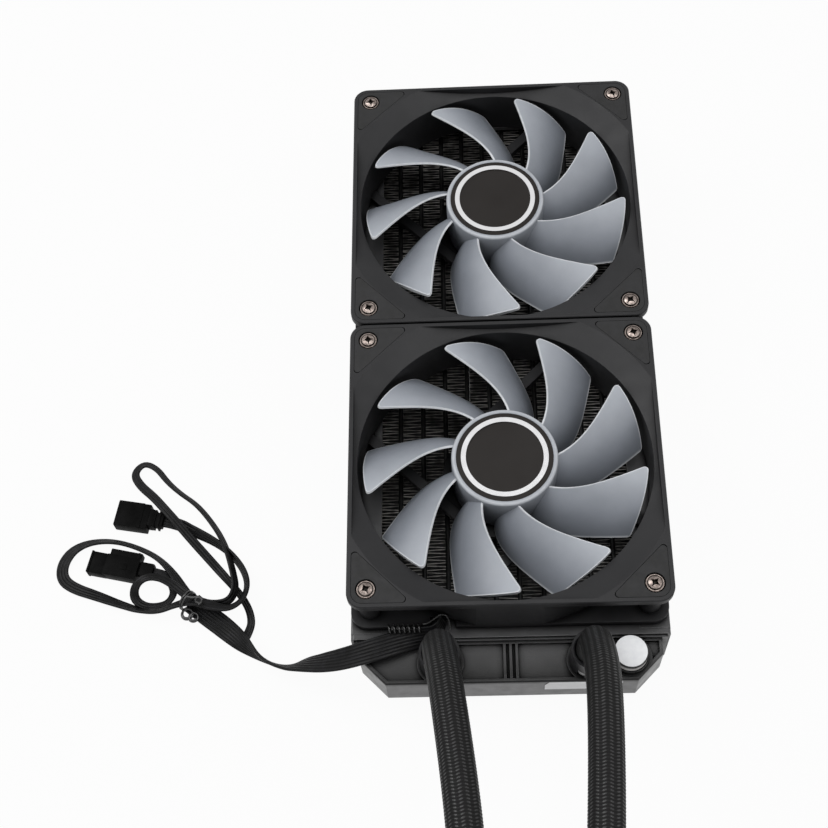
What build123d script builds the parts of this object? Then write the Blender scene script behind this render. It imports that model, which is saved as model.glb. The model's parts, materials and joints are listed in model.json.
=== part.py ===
from build123d import *
import os
from math import cos, pi, radians, sin, sqrt, tan

# All in one liquid cooler: a radiator with two fans, two hoses and a pump head.
# Millimetres. The origin is the middle of the radiator's underside, +Y runs along the
# radiator away from the hoses, and +Z goes up through the fans.

# Radiator
radiator_width = 120.0
radiator_height = 27.0
core_margin = 1.2
screw_edge = 7.5
plate_thickness = 1.2
plate_round = 0.8
flange_thickness = 2.0
flange_width = 11.5
screw_hole_r = 1.5
tube_count = 12
tube_thickness = 1.8
tube_wall = 0.35
core_drop = 6.2
core_lift = 6.8
fold_pitch = 10.0
fold_thickness = 0.8
header_thickness = 2.2
header_lip = 5.0
seat_gap = 0.05
tube_stickout = 1.4

# End tanks
tank_flange = 0.9
tank_flange_step = 1.0
tank_depth_front = 16.7
tank_depth_rear = 13.8
tank_side_step = 3.0
tank_chamfer = 10.0
tank_lift = 4.6
tank_drop = 2.7
tank_wall = 2.0
tank_roof = 3.2
tank_rim = 1.5
tank_round = 0.8
tank_foot_round = 3.0
panel_depth = 1.4
rib_width = 1.0
rib_pitch = 2.3
rib_count = 3
divider_width = 2.0
port_setback = 8.6
port_spacing = 55.9
port_from_fill = 14.7
port_boss_r = 8.8
fill_setback = 7.9
fill_inset = 15.8
fill_boss_r = 6.9
fill_boss_height = 3.2
fill_thread_r = 3.0
fill_cap_r = 6.4
fill_cap_height = 3.7
fill_cap_edge = 0.4
fill_seal_r = 6.0
fill_seal_height = 0.3

# Hoses and their fittings
hose_r = 6.0
hose_bore_r = 4.0
hose_gap = 0.05
barb_bore_r = 2.9
barb_neck_r = 3.5
barb_teeth = 3
barb_flange_r = 5.9
barb_flange_height = 2.0
barb_reach = 11.5
barb_root = 5.0
ferrule_r = 7.6
ferrule_height = 12.6
ferrule_edge = 0.8
ferrule_window = 3.0
window_angle = 237.0

# Fans
fan_gap = 0.6
fan_height = 25.0
fan_corner_r = 6.0
fan_flange = 3.4
fan_edge = 0.4
corner_post_r = 4.2
clear_hole_r = 2.15
duct_bulge = 1.3
bore_inset = 3.1
inlet_reach = 6.3
inlet_depth = 4.2
inlet_rim = 1.7
motor_base_r = 24.5
motor_base_height = 2.5
strut_offset = 23.6
strut_width = 4.0
strut_height = 3.0
strut_angle = 45.0
pad_margin = 1.8
pad_leg = 21.8
pad_thickness = 1.2
pad_corner_r = 1.4
pad_gap = 0.15
pad_hole_r = 3.9
screw_r = 1.45
screw_length = 28.0
screw_head_r = 3.1
screw_head_height = 2.2
screw_head_round = 0.9
cross_length = 3.6
cross_width = 0.9
cross_depth = 1.3
lead_notch_x = -25.0
lead_notch_width = 9.8
lead_notch_depth = 3.6

# Rotor
hub_r = 20.4
hub_wall = 2.3
hub_drop = 1.0
hub_foot = 3.6
hub_roof = 1.8
hub_round = 0.8
cap_r = 18.6
cap_gap = 0.05
cap_depth = 1.6
ring_outer_r = 16.7
ring_inner_r = 14.8
ring_proud = 0.3
ring_depth = 0.8
cap_dish = 0.4
blade_count = 9
blade_root = 1.1
blade_tip_gap = 2.2
blade_overrun = 1.2
rotor_turn = {"front": 0.0, "rear": 4.7}

# One blade: how far out the section is, as a share of the way from hub to tip, then the
# angle and the height above the frame's bottom of its leading edge, then the same for
# its trailing edge.
blade_sections = [
    (0.0, 3.0, 22.2, -22.0, 5.0),
    (0.24, 13.5, 22.8, -15.0, 6.2),
    (0.488, 23.5, 23.0, -4.5, 7.4),
    (0.736, 31.0, 23.0, 4.0, 8.6),
    (1.0, 36.9, 23.0, 10.5, 9.8),
]
blade_camber = 0.085
blade_edge = 0.9
blade_middle = 1.9

# Motor
shaft_r = 1.5
shaft_gap = 0.03
boss_r = 3.5
boss_height = 2.8
bearing_r = 3.95
bearing_tube_r = 5.5
bearing_tube_height = 17.0
bearing_gap = 0.05
yoke_wall = 0.85
magnet_wall = 1.6
magnet_height = 12.0
stator_gap = 0.7
stator_height = 9.0
stator_lift = 6.5
pole_count = 4
pole_slot = 2.6
pole_shoe = 2.2
pole_root = 2.0
pole_width = 5.2
coil_width = 9.4
coil_gap = 0.3
shaft_foot_gap = 0.3
board_r = 17.0
board_thickness = 1.2
board_lift = 3.2

# Pump head
pump_y = -460.0
pump_r = 34.0
plate_step = 3.0
pump_plate_height = 3.0
pump_top = 36.0
cover_height = 6.0
cover_round = 3.0
cover_step = 1.0
base_flange_step = 2.0
base_flange_top = 8.0
chamber_inset = 21.5
chamber_top = 26.0
can_wall = 2.0
stator_well_wall = 7.0
stator_well_floor = 12.0
pump_rotor_gap = 0.7
pump_rotor_foot = 4.0
pump_rotor_top = 24.5
vane_height = 3.0
vane_count = 6
vane_width = 1.4
impeller_boss_r = 3.0
pump_stator_height = 18.0
pump_stator_slots = 6
gasket_inset = 3.7
gasket_width = 2.0
gasket_height = 1.4
plate_screw_count = 8
plate_screw_inset = 5.8
plate_screw_r = 1.2
plate_screw_head_r = 2.1
plate_screw_head = 1.3
plate_screw_length = 8.0
port_block_width = 48.0
port_block_height = 20.0
port_block_round = 3.0
port_reach = 2.0
port_z = 25.5
port_pitch = 30.0
bracket_thickness = 2.5
bracket_gap = 0.3
bracket_hole_x = 37.5
bracket_hole_r = 2.2
bracket_round = 8.0
outlet_size = (9.0, 3.6)
outlet_depth = 3.0
outlet_z = 24.0

# Flat leads: each plain tube has about the section of its flat lead
fan_lead_r = 1.7
speed_lead_r = 1.1
light_lead_r = 1.0
plug_length = 14.0
plug_width = 11.0
plug_height = 6.4
plug_edge = 0.5
boot_length = 6.0
boot_width = 6.0
boot_height = 4.0
light_plug_width = 9.0
shroud_length = 7.0
latch_width = 3.0
latch_height = 4.5

# Sizes that follow from the ones above
fan_pitch = radiator_width
fan_side = fan_pitch - fan_gap
screw_spacing = radiator_width - 2 * screw_edge
core_half_length = fan_pitch + core_margin
core_depth = radiator_height - core_lift - core_drop
duct_r = fan_side / 2 + duct_bulge
bore_r = fan_side / 2 - bore_inset
inlet_r = fan_side / 2 + inlet_reach
blade_tip_r = bore_r - blade_tip_gap
fan_bottom = radiator_height
fan_top = fan_bottom + fan_height
fan_places = {"front": -fan_pitch / 2, "rear": fan_pitch / 2}
core_half_width = radiator_width / 2 - plate_thickness
fin_width = (2 * core_half_width - tube_count * tube_thickness) / (tube_count + 1)
tube_pitch = fin_width + tube_thickness
tank_top = radiator_height - tank_drop
tank_height = tank_top - tank_lift
tank_face = core_half_length + header_thickness
fill_x = radiator_width / 2 - fill_inset
fill_y = -(tank_face + fill_setback)
port_x = (fill_x - port_from_fill - port_spacing, fill_x - port_from_fill)
port_y = -(tank_face + port_setback)
hub_top = fan_top - hub_drop
hub_bottom = fan_bottom + hub_foot
cap_floor = hub_top - cap_depth
hub_inner_r = hub_r - hub_wall
hub_ceiling = cap_floor - hub_roof
yoke_r = hub_inner_r - cap_gap
magnet_r = yoke_r - yoke_wall - cap_gap
stator_r = magnet_r - magnet_wall - stator_gap
screw_seat = fan_top - pad_thickness
chamber_r = pump_r - chamber_inset
pump_rotor_r = chamber_r - pump_rotor_gap
plate_r = pump_r - plate_step
plate_screw_circle = pump_r - plate_screw_inset
gasket_outer_r = plate_screw_circle - gasket_inset
stator_well_r = pump_r - stator_well_wall
port_face = pump_r + port_reach

# Routes of the hoses and leads, as points chosen by hand
hose_routes = {
    "left": [
        (-26.4, -132.0, 26.3),
        (-26.4, -132.0, 48.7),
        (-25.4, -141.9, 69.2),
        (-22.6, -159.7, 83.5),
        (-17.4, -204.0, 93.7),
        (-15.0, -248.0, 97.0),
        (-13.0, -290.0, 85.0),
        (-13.0, -328.0, 63.0),
        (-14.0, -358.0, 42.0),
        (-15.0, -383.0, 30.5),
        (-15.0, -404.0, 25.5),
        (-15.0, -422.0, 25.5),
    ],
    "right": [
        (29.5, -132.0, 26.3),
        (29.5, -132.0, 48.7),
        (29.3, -141.9, 69.2),
        (29.5, -159.7, 83.5),
        (26.4, -204.0, 93.7),
        (22.0, -248.0, 97.0),
        (18.4, -290.0, 85.0),
        (16.4, -328.0, 63.0),
        (15.4, -358.0, 42.0),
        (15.0, -383.0, 30.5),
        (15.0, -404.0, 25.5),
        (15.0, -422.0, 25.5),
    ],
}
fan_lead_route = [
    (-25.0, -117.0, 29.0),
    (-26.2, -122.2, 29.0),
    (-35.5, -123.6, 29.0),
    (-45.0, -126.2, 29.2),
    (-54.5, -128.8, 28.4),
    (-63.2, -130.0, 24.8),
    (-71.2, -129.4, 19.2),
    (-79.2, -127.9, 13.0),
    (-87.4, -125.9, 7.0),
    (-96.2, -121.8, 2.8),
    (-105.5, -114.6, 1.9),
    (-113.5, -108.2, 2.0),
    (-120.4, -103.2, 2.4),
    (-126.4, -98.4, 2.9),
]
speed_lead_route = [
    (-126.4, -98.4, 2.9),
    (-130.6, -92.6, 3.0),
    (-134.9, -85.6, 2.0),
    (-141.6, -78.4, 1.3),
    (-151.6, -73.2, 1.3),
    (-161.6, -70.4, 1.3),
    (-171.6, -70.6, 1.3),
    (-179.4, -74.0, 1.3),
    (-183.2, -80.6, 1.3),
    (-182.4, -87.6, 1.3),
    (-176.6, -91.8, 1.3),
    (-167.0, -95.4, 1.3),
    (-157.4, -99.6, 1.4),
    (-148.4, -102.3, 2.4),
    (-139.6, -102.6, 4.8),
    (-132.0, -100.4, 7.4),
    (-124.4, -99.4, 8.9),
    (-117.0, -101.9, 8.8),
    (-110.4, -102.9, 7.6),
    (-105.4, -98.6, 6.0),
    (-103.9, -91.6, 4.6),
    (-106.4, -84.4, 3.2),
    (-111.6, -77.6, 1.8),
    (-118.6, -72.0, 1.2),
    (-126.8, -67.6, 1.2),
    (-134.29, -63.68, 3.2),
    (-140.4, -62.6, 3.2),
]
light_lead_route = [
    (-105.2, -114.8, 1.9),
    (-102.2, -109.4, 1.6),
    (-102.6, -103.0, 1.2),
    (-106.2, -96.2, 1.2),
    (-112.6, -88.6, 1.2),
    (-120.6, -79.6, 1.6),
    (-128.2, -71.4, 3.6),
    (-133.6, -65.4, 6.0),
    (-139.0, -59.4, 6.6),
    (-145.0, -52.4, 5.2),
    (-151.6, -46.2, 3.0),
    (-155.4, -40.0, 1.8),
    (-151.6, -34.8, 1.4),
    (-145.6, -37.6, 1.2),
    (-140.8, -44.0, 1.2),
    (-134.8, -49.6, 1.2),
    (-127.8, -54.6, 1.2),
    (-121.8, -61.6, 1.2),
    (-116.6, -69.4, 3.0),
    (-112.9, -77.4, 4.8),
    (-110.4, -85.4, 5.2),
    (-108.6, -92.9, 5.0),
    (-110.6, -98.9, 5.6),
    (-116.4, -100.6, 6.2),
    (-122.8, -99.3, 6.2),
    (-129.0, -95.6, 6.2),
    (-134.4, -91.2, 6.2),
    (-139.9, -88.4, 6.8),
    (-146.1, -88.2, 7.8),
    (-151.0, -91.4, 6.0),
    (-151.8, -96.4, 3.2),
    (-147.4, -99.4, 1.5),
    (-141.8, -99.6, 1.2),
    (-136.4, -97.8, 1.2),
    (-134.2, -93.4, 1.2),
    (-135.6, -89.0, 2.2),
    (-138.2, -85.96, 3.2),
    (-143.0, -84.9, 3.2),
]
tie_place = (-127.55, -98.7, 6.2)
tie_angle = 142.0
tie_length = 1.2
tie_wire = 0.9
tie_inner = (7.0, 10.6)
speed_plug_angle = 170.0
light_plug_angle = 167.5
light_plug_shift = -1.0
coil_tie_place = (-45.5, -121.3, 32.8)
coil_tie_r = 2.1
coil_tie_bore_r = 1.4
coil_tie_length = 13.0

os.makedirs("parts", exist_ok=True)


def save(name, builder):
    """Labels a finished piece and writes its file."""
    builder.part.label = name
    export_step(builder.part, f"parts/{name}.step")


def level(z, y=0.0, x=0.0):
    """A horizontal plane at height z with its origin over (x, y)."""
    return Plane(origin=(x, y, z))


# Radiator core
def tube_slot(grow=0.0):
    """Section of one flat tube, standing on its edge and seen along the tube."""
    return SlotOverall(core_depth + 2 * grow, tube_thickness + 2 * grow, rotation=90)


def tube_row():
    """Places of the tubes across the radiator, on a plane that faces along +Y."""
    return GridLocations(tube_pitch, 1, tube_count, 1)


core_middle = core_lift + core_depth / 2
tube_end = core_half_length + header_thickness + tube_stickout

with BuildPart() as tubes:
    with BuildSketch(Plane(origin=(0, -tube_end, core_middle), x_dir=(-1, 0, 0), z_dir=(0, 1, 0))):
        with tube_row():
            tube_slot()
        with tube_row():
            SlotOverall(
                core_depth - 2 * tube_wall,
                tube_thickness - 2 * tube_wall,
                rotation=90,
                mode=Mode.SUBTRACT,
            )
    extrude(amount=2 * tube_end)
save("tubes", tubes)

fold_count = int(2 * core_half_length / fold_pitch)
fold_swing = (fin_width - fold_thickness) / 2
fold_ys = [(step - fold_count) * fold_pitch / 2 for step in range(2 * fold_count + 1)]
fold_xs = [fold_swing if step % 2 else -fold_swing for step in range(2 * fold_count + 1)]
fold_left = [(x - fold_thickness / 2, y) for x, y in zip(fold_xs, fold_ys)]
fold_right = [(x + fold_thickness / 2, y) for x, y in zip(fold_xs, fold_ys)]

with BuildPart() as fins:
    with BuildSketch(level(core_lift)):
        with GridLocations(tube_pitch, 1, tube_count + 1, 1):
            Polygon(*fold_left, *reversed(fold_right), align=None)
    extrude(amount=core_depth)
save("fins", fins)


# Side plates: channels with their flanges turned in and tapped for the screws
hole_shift = screw_spacing / 2
hole_ys = [fan_y + shift for fan_y in fan_places.values() for shift in (-hole_shift, hole_shift)]

with BuildPart() as side_plate_left:
    with BuildSketch(Plane.XZ.offset(core_half_length)):
        with Locations(((flange_width - radiator_width) / 2, radiator_height / 2)):
            Rectangle(flange_width, radiator_height)
        with Locations(((plate_thickness + flange_width - radiator_width) / 2, radiator_height / 2)):
            Rectangle(
                flange_width - plate_thickness,
                radiator_height - 2 * flange_thickness,
                mode=Mode.SUBTRACT,
            )
    extrude(amount=-2 * core_half_length)
    fillet(side_plate_left.edges().filter_by(Axis.Y).group_by(Axis.X)[0], plate_round)
    with BuildSketch(level(0), level(radiator_height - flange_thickness)):
        with Locations(*[(-hole_shift, hole_y) for hole_y in hole_ys]):
            Circle(screw_hole_r)
    extrude(amount=flange_thickness, mode=Mode.SUBTRACT)
save("side_plate_left", side_plate_left)

with BuildPart() as side_plate_right:
    mirror(side_plate_left.part, about=Plane.YZ)
save("side_plate_right", side_plate_right)


def header(side):
    """The plate that the tubes pass through at one end, its lips turned in over the core."""
    inner_y = side * core_half_length
    lip_width = radiator_width - 2 * flange_width - 2 * seat_gap
    with BuildPart() as plate:
        face = Plane(origin=(0, inner_y, radiator_height / 2), x_dir=(-side, 0, 0), z_dir=(0, side, 0))
        with BuildSketch(face):
            RectangleRounded(radiator_width, radiator_height, plate_thickness)
            with Locations((0, core_middle - radiator_height / 2)):
                with tube_row():
                    SlotOverall(
                        core_depth + 2 * seat_gap,
                        tube_thickness + 2 * seat_gap,
                        rotation=90,
                        mode=Mode.SUBTRACT,
                    )
        extrude(amount=header_thickness)
        with BuildSketch(level(0), level(radiator_height - flange_thickness)):
            with Locations((0, inner_y - side * header_lip / 2)):
                Rectangle(lip_width, header_lip)
        extrude(amount=flange_thickness)
    return plate


save("header_front", header(-1))
save("header_rear", header(1))


def tank_outline(side, depth, inset):
    """Corners of an end tank seen from above, moved in by inset."""
    half = radiator_width / 2 - tank_side_step - inset
    back = side * tank_face
    end = side * (tank_face + depth - inset)
    shift = inset * tan(pi / 8)
    shoulder = end - side * (tank_chamfer - inset + shift)
    corner = half - tank_chamfer + inset - shift
    return [(-half, back), (-half, shoulder), (-corner, end), (corner, end), (half, shoulder), (half, back)]


def tank_body(side, depth):
    """The cast tank with its flange against the header and its hollow inside."""
    with BuildPart() as tank:
        with BuildSketch(level(tank_lift)):
            Polygon(*tank_outline(side, depth, 0), align=None)
        extrude(amount=tank_height)
        outward = Axis((0, 0, 0), (0, side, 0))
        fillet(tank.faces().sort_by(Axis.Z)[-1].edges().sort_by(outward)[1:], tank_round)
        fillet(tank.faces().sort_by(Axis.Z)[0].edges().sort_by(outward)[1:], tank_foot_round)
        middle = (0, side * tank_face, radiator_height / 2)
        with BuildSketch(Plane(origin=middle, x_dir=(-side, 0, 0), z_dir=(0, side, 0))):
            RectangleRounded(
                radiator_width - 2 * tank_flange_step,
                radiator_height - 2 * tank_flange_step,
                plate_thickness,
            )
        extrude(amount=tank_flange)
        with BuildSketch(level(tank_lift + tank_wall)):
            Polygon(*tank_outline(side, depth, tank_wall), align=None)
        extrude(amount=tank_height - tank_wall - tank_roof, mode=Mode.SUBTRACT)
    return tank


port_places = [(x, port_y) for x in port_x]
tank_end_y = -(tank_face + tank_depth_front)
panel_back_y = -(tank_face + tank_flange)
rib_middle_y = (tank_end_y + panel_back_y) / 2

with BuildPart() as end_tank_front:
    add(tank_body(-1, tank_depth_front).part)
    # The sunk panels, with the bosses and ribs left standing
    with BuildSketch(level(tank_top)):
        Polygon(*tank_outline(-1, tank_depth_front, tank_rim), align=None)
        with Locations((0, panel_back_y + tank_rim / 2)):
            Rectangle(radiator_width, 2 * tank_flange + tank_rim, mode=Mode.SUBTRACT)
        with Locations(*port_places):
            Circle(port_boss_r, mode=Mode.SUBTRACT)
        with Locations((fill_x, fill_y)):
            Circle(fill_boss_r + tank_rim, mode=Mode.SUBTRACT)
        with Locations((0, rib_middle_y)):
            with GridLocations(rib_pitch, 1, rib_count, 1):
                Rectangle(rib_width, tank_depth_front, mode=Mode.SUBTRACT)
    extrude(amount=-panel_depth, mode=Mode.SUBTRACT)
    # The wall between the two passes
    with BuildSketch(level(tank_lift)):
        with Locations((0, -(tank_face + tank_depth_front / 2))):
            Rectangle(divider_width, tank_depth_front - tank_rim)
    extrude(amount=tank_height - panel_depth)
    # Fill boss, port holes and fill hole
    with BuildSketch(level(tank_top - panel_depth)):
        with Locations((fill_x, fill_y)):
            Circle(fill_boss_r)
    extrude(amount=panel_depth + fill_boss_height)
    with BuildSketch(level(tank_top)):
        with Locations(*port_places):
            Circle(hose_bore_r + seat_gap)
    extrude(amount=-tank_roof - seat_gap, mode=Mode.SUBTRACT)
    with BuildSketch(level(tank_top + fill_boss_height)):
        with Locations((fill_x, fill_y)):
            Circle(fill_thread_r)
    extrude(amount=-fill_boss_height - tank_roof - seat_gap, mode=Mode.SUBTRACT)
save("end_tank_front", end_tank_front)
save("end_tank_rear", tank_body(1, tank_depth_rear))

with BuildPart() as fill_plug:
    with BuildSketch(level(tank_top + fill_boss_height)):
        with Locations((fill_x, fill_y)):
            Circle(fill_thread_r - seat_gap)
    extrude(amount=-fill_boss_height - tank_roof)
    with BuildSketch(level(tank_top + fill_boss_height)):
        with Locations((fill_x, fill_y)):
            Circle(fill_cap_r)
    extrude(amount=fill_cap_height)
    chamfer(fill_plug.edges().filter_by(GeomType.CIRCLE).sort_by(Axis.Z)[-1], fill_cap_edge)
save("fill_plug", fill_plug)

with BuildPart() as fill_seal:
    with BuildSketch(level(tank_top + fill_boss_height + fill_cap_height)):
        with Locations((fill_x, fill_y)):
            Circle(min(fill_seal_r, fill_cap_r - fill_cap_edge))
    extrude(amount=fill_seal_height)
save("fill_seal", fill_seal)


def barb_profile():
    """Half section of a hose fitting standing on its seat, radius first, height second."""
    tooth = (barb_reach - barb_flange_height) / barb_teeth
    tooth_r = hose_bore_r - hose_gap
    points = [(barb_bore_r, -barb_root), (tooth_r, -barb_root), (tooth_r, 0)]
    points += [(barb_flange_r, 0), (barb_flange_r, barb_flange_height)]
    for number in range(barb_teeth):
        foot = barb_flange_height + number * tooth
        points += [(barb_neck_r, foot), (tooth_r, foot + tooth * 0.25), (barb_neck_r, foot + tooth * 0.95)]
    points += [(barb_bore_r, barb_reach)]
    return points


def barb(seat):
    """A hose fitting on a seat plane whose normal is the hose's direction."""
    with BuildPart() as fitting:
        with BuildSketch(Plane(origin=seat.origin, x_dir=seat.x_dir, z_dir=-seat.y_dir)):
            Polygon(*barb_profile(), align=None)
        revolve(axis=Axis(seat.origin, seat.z_dir))
    return fitting


def ferrule(seat, window_turn=None):
    """The collar over a hose end, with a window at its foot where the fitting shows."""
    with BuildPart() as collar:
        with BuildSketch(seat):
            Circle(ferrule_r)
            Circle(hose_r + hose_gap, mode=Mode.SUBTRACT)
        extrude(amount=ferrule_height)
        circles = collar.edges().filter_by(GeomType.CIRCLE)
        fillet(circles.sort_by(Axis(seat.origin, seat.z_dir))[-1], ferrule_edge)
        if window_turn is not None:
            with BuildSketch(seat):
                with PolarLocations(ferrule_r, 1, start_angle=window_turn):
                    Rectangle(ferrule_r, ferrule_window)
            extrude(amount=barb_flange_height + ferrule_window, mode=Mode.SUBTRACT)
    return collar


for place, x in zip(("left", "right"), port_x):
    tank_seat = Plane(origin=(x, port_y, tank_top))
    save(f"barb_{place}", barb(tank_seat))
    save(f"ferrule_{place}", ferrule(tank_seat, window_angle))


# Fans
def pad_corners(grow):
    """Corners of the pad in the corner of the fan towards +X and +Y, grown by a gap."""
    outer = fan_side / 2 - pad_margin + grow
    tip = fan_side / 2 - pad_margin - pad_leg - grow * (1 + sqrt(2))
    return [(outer, outer), (tip, outer), (outer, tip)]


def pad_outlines(grow):
    """The four pads in the sketch being drawn, rounder where they follow the frame's corner."""
    with BuildSketch(mode=Mode.PRIVATE) as pad:
        Polygon(*pad_corners(grow), align=None)
        outer_corner = pad.vertices().sort_by_distance((0, 0, 0))[-1]
        fillet(outer_corner, fan_corner_r - pad_margin + grow)
        fillet(pad.vertices().sort_by_distance((0, 0, 0))[:2], pad_corner_r)
    with PolarLocations(0, 4):
        add(pad.sketch)


def inlet_part(fan_y):
    """The wide cone that leads into the bore, cut off square inside the frame's rim."""
    mouth = level(fan_top - inlet_depth, fan_y)
    mouth_side = fan_side - 2 * inlet_rim
    with BuildPart() as inlet:
        with BuildSketch(mouth):
            Circle(bore_r)
        with BuildSketch(mouth.offset(inlet_depth)):
            Circle(inlet_r)
        loft()
        with BuildSketch(mouth):
            RectangleRounded(mouth_side, mouth_side, fan_corner_r - inlet_rim)
        extrude(amount=inlet_depth, mode=Mode.INTERSECT)
    return inlet


def frame_part(fan_y):
    """Fan frame: duct, flanges, corner posts, struts and motor base in one moulding."""
    base = level(fan_bottom, fan_y)
    inlet = inlet_part(fan_y)
    strut_reach = sqrt((bore_r + duct_r) ** 2 / 4 - strut_offset**2)
    with BuildPart() as frame:
        with BuildSketch(base):
            Circle(duct_r)
            Rectangle(fan_side, fan_side, mode=Mode.INTERSECT)
            with GridLocations(screw_spacing, screw_spacing, 2, 2):
                Circle(corner_post_r)
        extrude(amount=fan_height)
        with BuildSketch(base, base.offset(fan_height - fan_flange)):
            RectangleRounded(fan_side, fan_side, fan_corner_r)
        extrude(amount=fan_flange)
        chamfer(frame.faces().sort_by(Axis.Z)[-1].edges(), fan_edge)
        # The notch that the lead leaves by
        with BuildSketch(base):
            with Locations((lead_notch_x, (lead_notch_depth - fan_side) / 2)):
                Rectangle(lead_notch_width, lead_notch_depth)
        extrude(amount=fan_flange, mode=Mode.SUBTRACT)
        # The bore and the cone that leads into it
        with BuildSketch(base):
            Circle(bore_r)
        extrude(amount=fan_height, mode=Mode.SUBTRACT)
        add(inlet.part, mode=Mode.SUBTRACT)
        # Struts, motor base and bearing tube
        with BuildSketch(base):
            with PolarLocations(0, 4, start_angle=strut_angle):
                with Locations((strut_reach / 2, strut_offset)):
                    Rectangle(strut_reach, strut_width)
        extrude(amount=strut_height)
        with BuildSketch(base):
            Circle(motor_base_r)
        extrude(amount=motor_base_height)
        with BuildSketch(base):
            Circle(bearing_tube_r)
        extrude(amount=bearing_tube_height)
        with BuildSketch(base.offset(motor_base_height)):
            Circle(bearing_r + bearing_gap)
        extrude(amount=bearing_tube_height, mode=Mode.SUBTRACT)
        # Screw holes and the seats of the corner pads
        with BuildSketch(base):
            with GridLocations(screw_spacing, screw_spacing, 2, 2):
                Circle(clear_hole_r)
        extrude(amount=fan_height, mode=Mode.SUBTRACT)
        with BuildSketch(base.offset(fan_height)):
            pad_outlines(pad_gap)
        extrude(amount=-pad_thickness, mode=Mode.SUBTRACT)
    return frame


def pads_part(fan_y):
    """The four soft pads let into the corners of the frame."""
    with BuildPart() as pads:
        with BuildSketch(level(screw_seat, fan_y)):
            pad_outlines(0)
            with GridLocations(screw_spacing, screw_spacing, 2, 2):
                Circle(pad_hole_r, mode=Mode.SUBTRACT)
        extrude(amount=pad_thickness)
    return pads


def screws_part(fan_y):
    """The four screws that hold a fan, with cross slots in their heads."""
    seat = level(screw_seat, fan_y)
    with BuildPart() as screws:
        with BuildSketch(seat):
            with GridLocations(screw_spacing, screw_spacing, 2, 2):
                Circle(screw_head_r)
        extrude(amount=screw_head_height)
        fillet(screws.edges().group_by(Axis.Z)[-1], screw_head_round)
        with BuildSketch(seat):
            with GridLocations(screw_spacing, screw_spacing, 2, 2):
                Circle(screw_r)
        extrude(amount=-screw_length)
        with BuildSketch(seat.offset(screw_head_height)):
            with GridLocations(screw_spacing, screw_spacing, 2, 2):
                Rectangle(cross_length, cross_width)
                Rectangle(cross_width, cross_length)
        extrude(amount=-cross_depth, mode=Mode.SUBTRACT)
    return screws


# One blade, swept forward and twisted from root to tip
def blade_outline(distance, lead_angle, lead_height, trail_angle, trail_height):
    """Upper and lower side of a blade section, from its leading to its trailing edge."""
    middle = (lead_angle + trail_angle) / 2
    lead = Vector(distance * tan(radians(lead_angle - middle)), fan_bottom + lead_height)
    trail = Vector(distance * tan(radians(trail_angle - middle)), fan_bottom + trail_height)
    chord = trail - lead
    up = Vector(chord.Y, -chord.X).normalized()
    upper = []
    lower = []
    for step in range(5):
        along = step / 4
        bow = 4 * along * (1 - along)
        half = (blade_edge + (blade_middle - blade_edge) * bow) / 2
        centre = lead + chord * along + up * (blade_camber * chord.length * bow)
        upper.append(centre + up * half)
        lower.append(centre - up * half)
    return upper, lower


def blade_plane(lead_angle, trail_angle, distance):
    """Plane of a section, square to the radius through the middle of its chord."""
    middle = radians((lead_angle + trail_angle) / 2)
    return Plane(
        origin=(distance * cos(middle), distance * sin(middle), 0),
        x_dir=(-sin(middle), cos(middle), 0),
        z_dir=(cos(middle), sin(middle), 0),
    )


blade_start = hub_r - blade_root
blade_reach = blade_tip_r + blade_overrun - blade_start

with BuildPart() as blade:
    for share, lead_angle, lead_height, trail_angle, trail_height in blade_sections:
        distance = blade_start + share * blade_reach
        upper, lower = blade_outline(distance, lead_angle, lead_height, trail_angle, trail_height)
        with BuildSketch(blade_plane(lead_angle, trail_angle, distance)):
            with BuildLine():
                Spline(*upper)
                Line(upper[-1], lower[-1])
                Spline(*reversed(lower))
                Line(lower[0], upper[0])
            make_face()
    loft()
    with BuildSketch(level(fan_bottom)):
        Circle(blade_tip_r)
    extrude(amount=fan_height, mode=Mode.INTERSECT)


def rotor_part(fan_y, turn):
    """Hub and blades in one moulding, with the boss for the shaft."""
    with BuildPart() as rotor:
        with BuildSketch(level(hub_bottom, fan_y)):
            Circle(hub_r)
        extrude(amount=hub_top - hub_bottom)
        fillet(rotor.edges().sort_by(Axis.Z)[-1], hub_round)
        with Locations((0, fan_y, 0)):
            with PolarLocations(0, blade_count, start_angle=turn):
                add(blade.part)
        with BuildSketch(level(hub_bottom, fan_y)):
            Circle(hub_inner_r)
        extrude(amount=hub_ceiling - hub_bottom, mode=Mode.SUBTRACT)
        with BuildSketch(level(cap_floor, fan_y)):
            Circle(cap_r)
        extrude(amount=cap_depth, mode=Mode.SUBTRACT)
        with BuildSketch(level(hub_ceiling - boss_height, fan_y)):
            Circle(boss_r)
        extrude(amount=boss_height)
        with BuildSketch(level(hub_ceiling - boss_height, fan_y)):
            Circle(shaft_r + shaft_gap)
        extrude(amount=boss_height + hub_roof / 2, mode=Mode.SUBTRACT)
    return rotor


def cap_part(fan_y):
    """The dished black cap in the top of the hub, grooved for the ring."""
    with BuildPart() as cap:
        with BuildSketch(level(cap_floor, fan_y)):
            Circle(cap_r - cap_gap)
        extrude(amount=cap_depth)
        with BuildSketch(level(hub_top, fan_y)):
            Circle(ring_outer_r + cap_gap)
        extrude(amount=-ring_depth, mode=Mode.SUBTRACT)
        with BuildSketch(level(hub_top - ring_depth, fan_y)):
            Circle(ring_inner_r - cap_gap)
        extrude(amount=ring_depth - cap_dish)
    return cap


def tube_part(z, fan_y, outer_r, inner_r, height):
    """A plain upright sleeve."""
    with BuildPart() as sleeve:
        with BuildSketch(level(z, fan_y)):
            Circle(outer_r)
            if inner_r:
                Circle(inner_r, mode=Mode.SUBTRACT)
        extrude(amount=height)
    return sleeve


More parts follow.
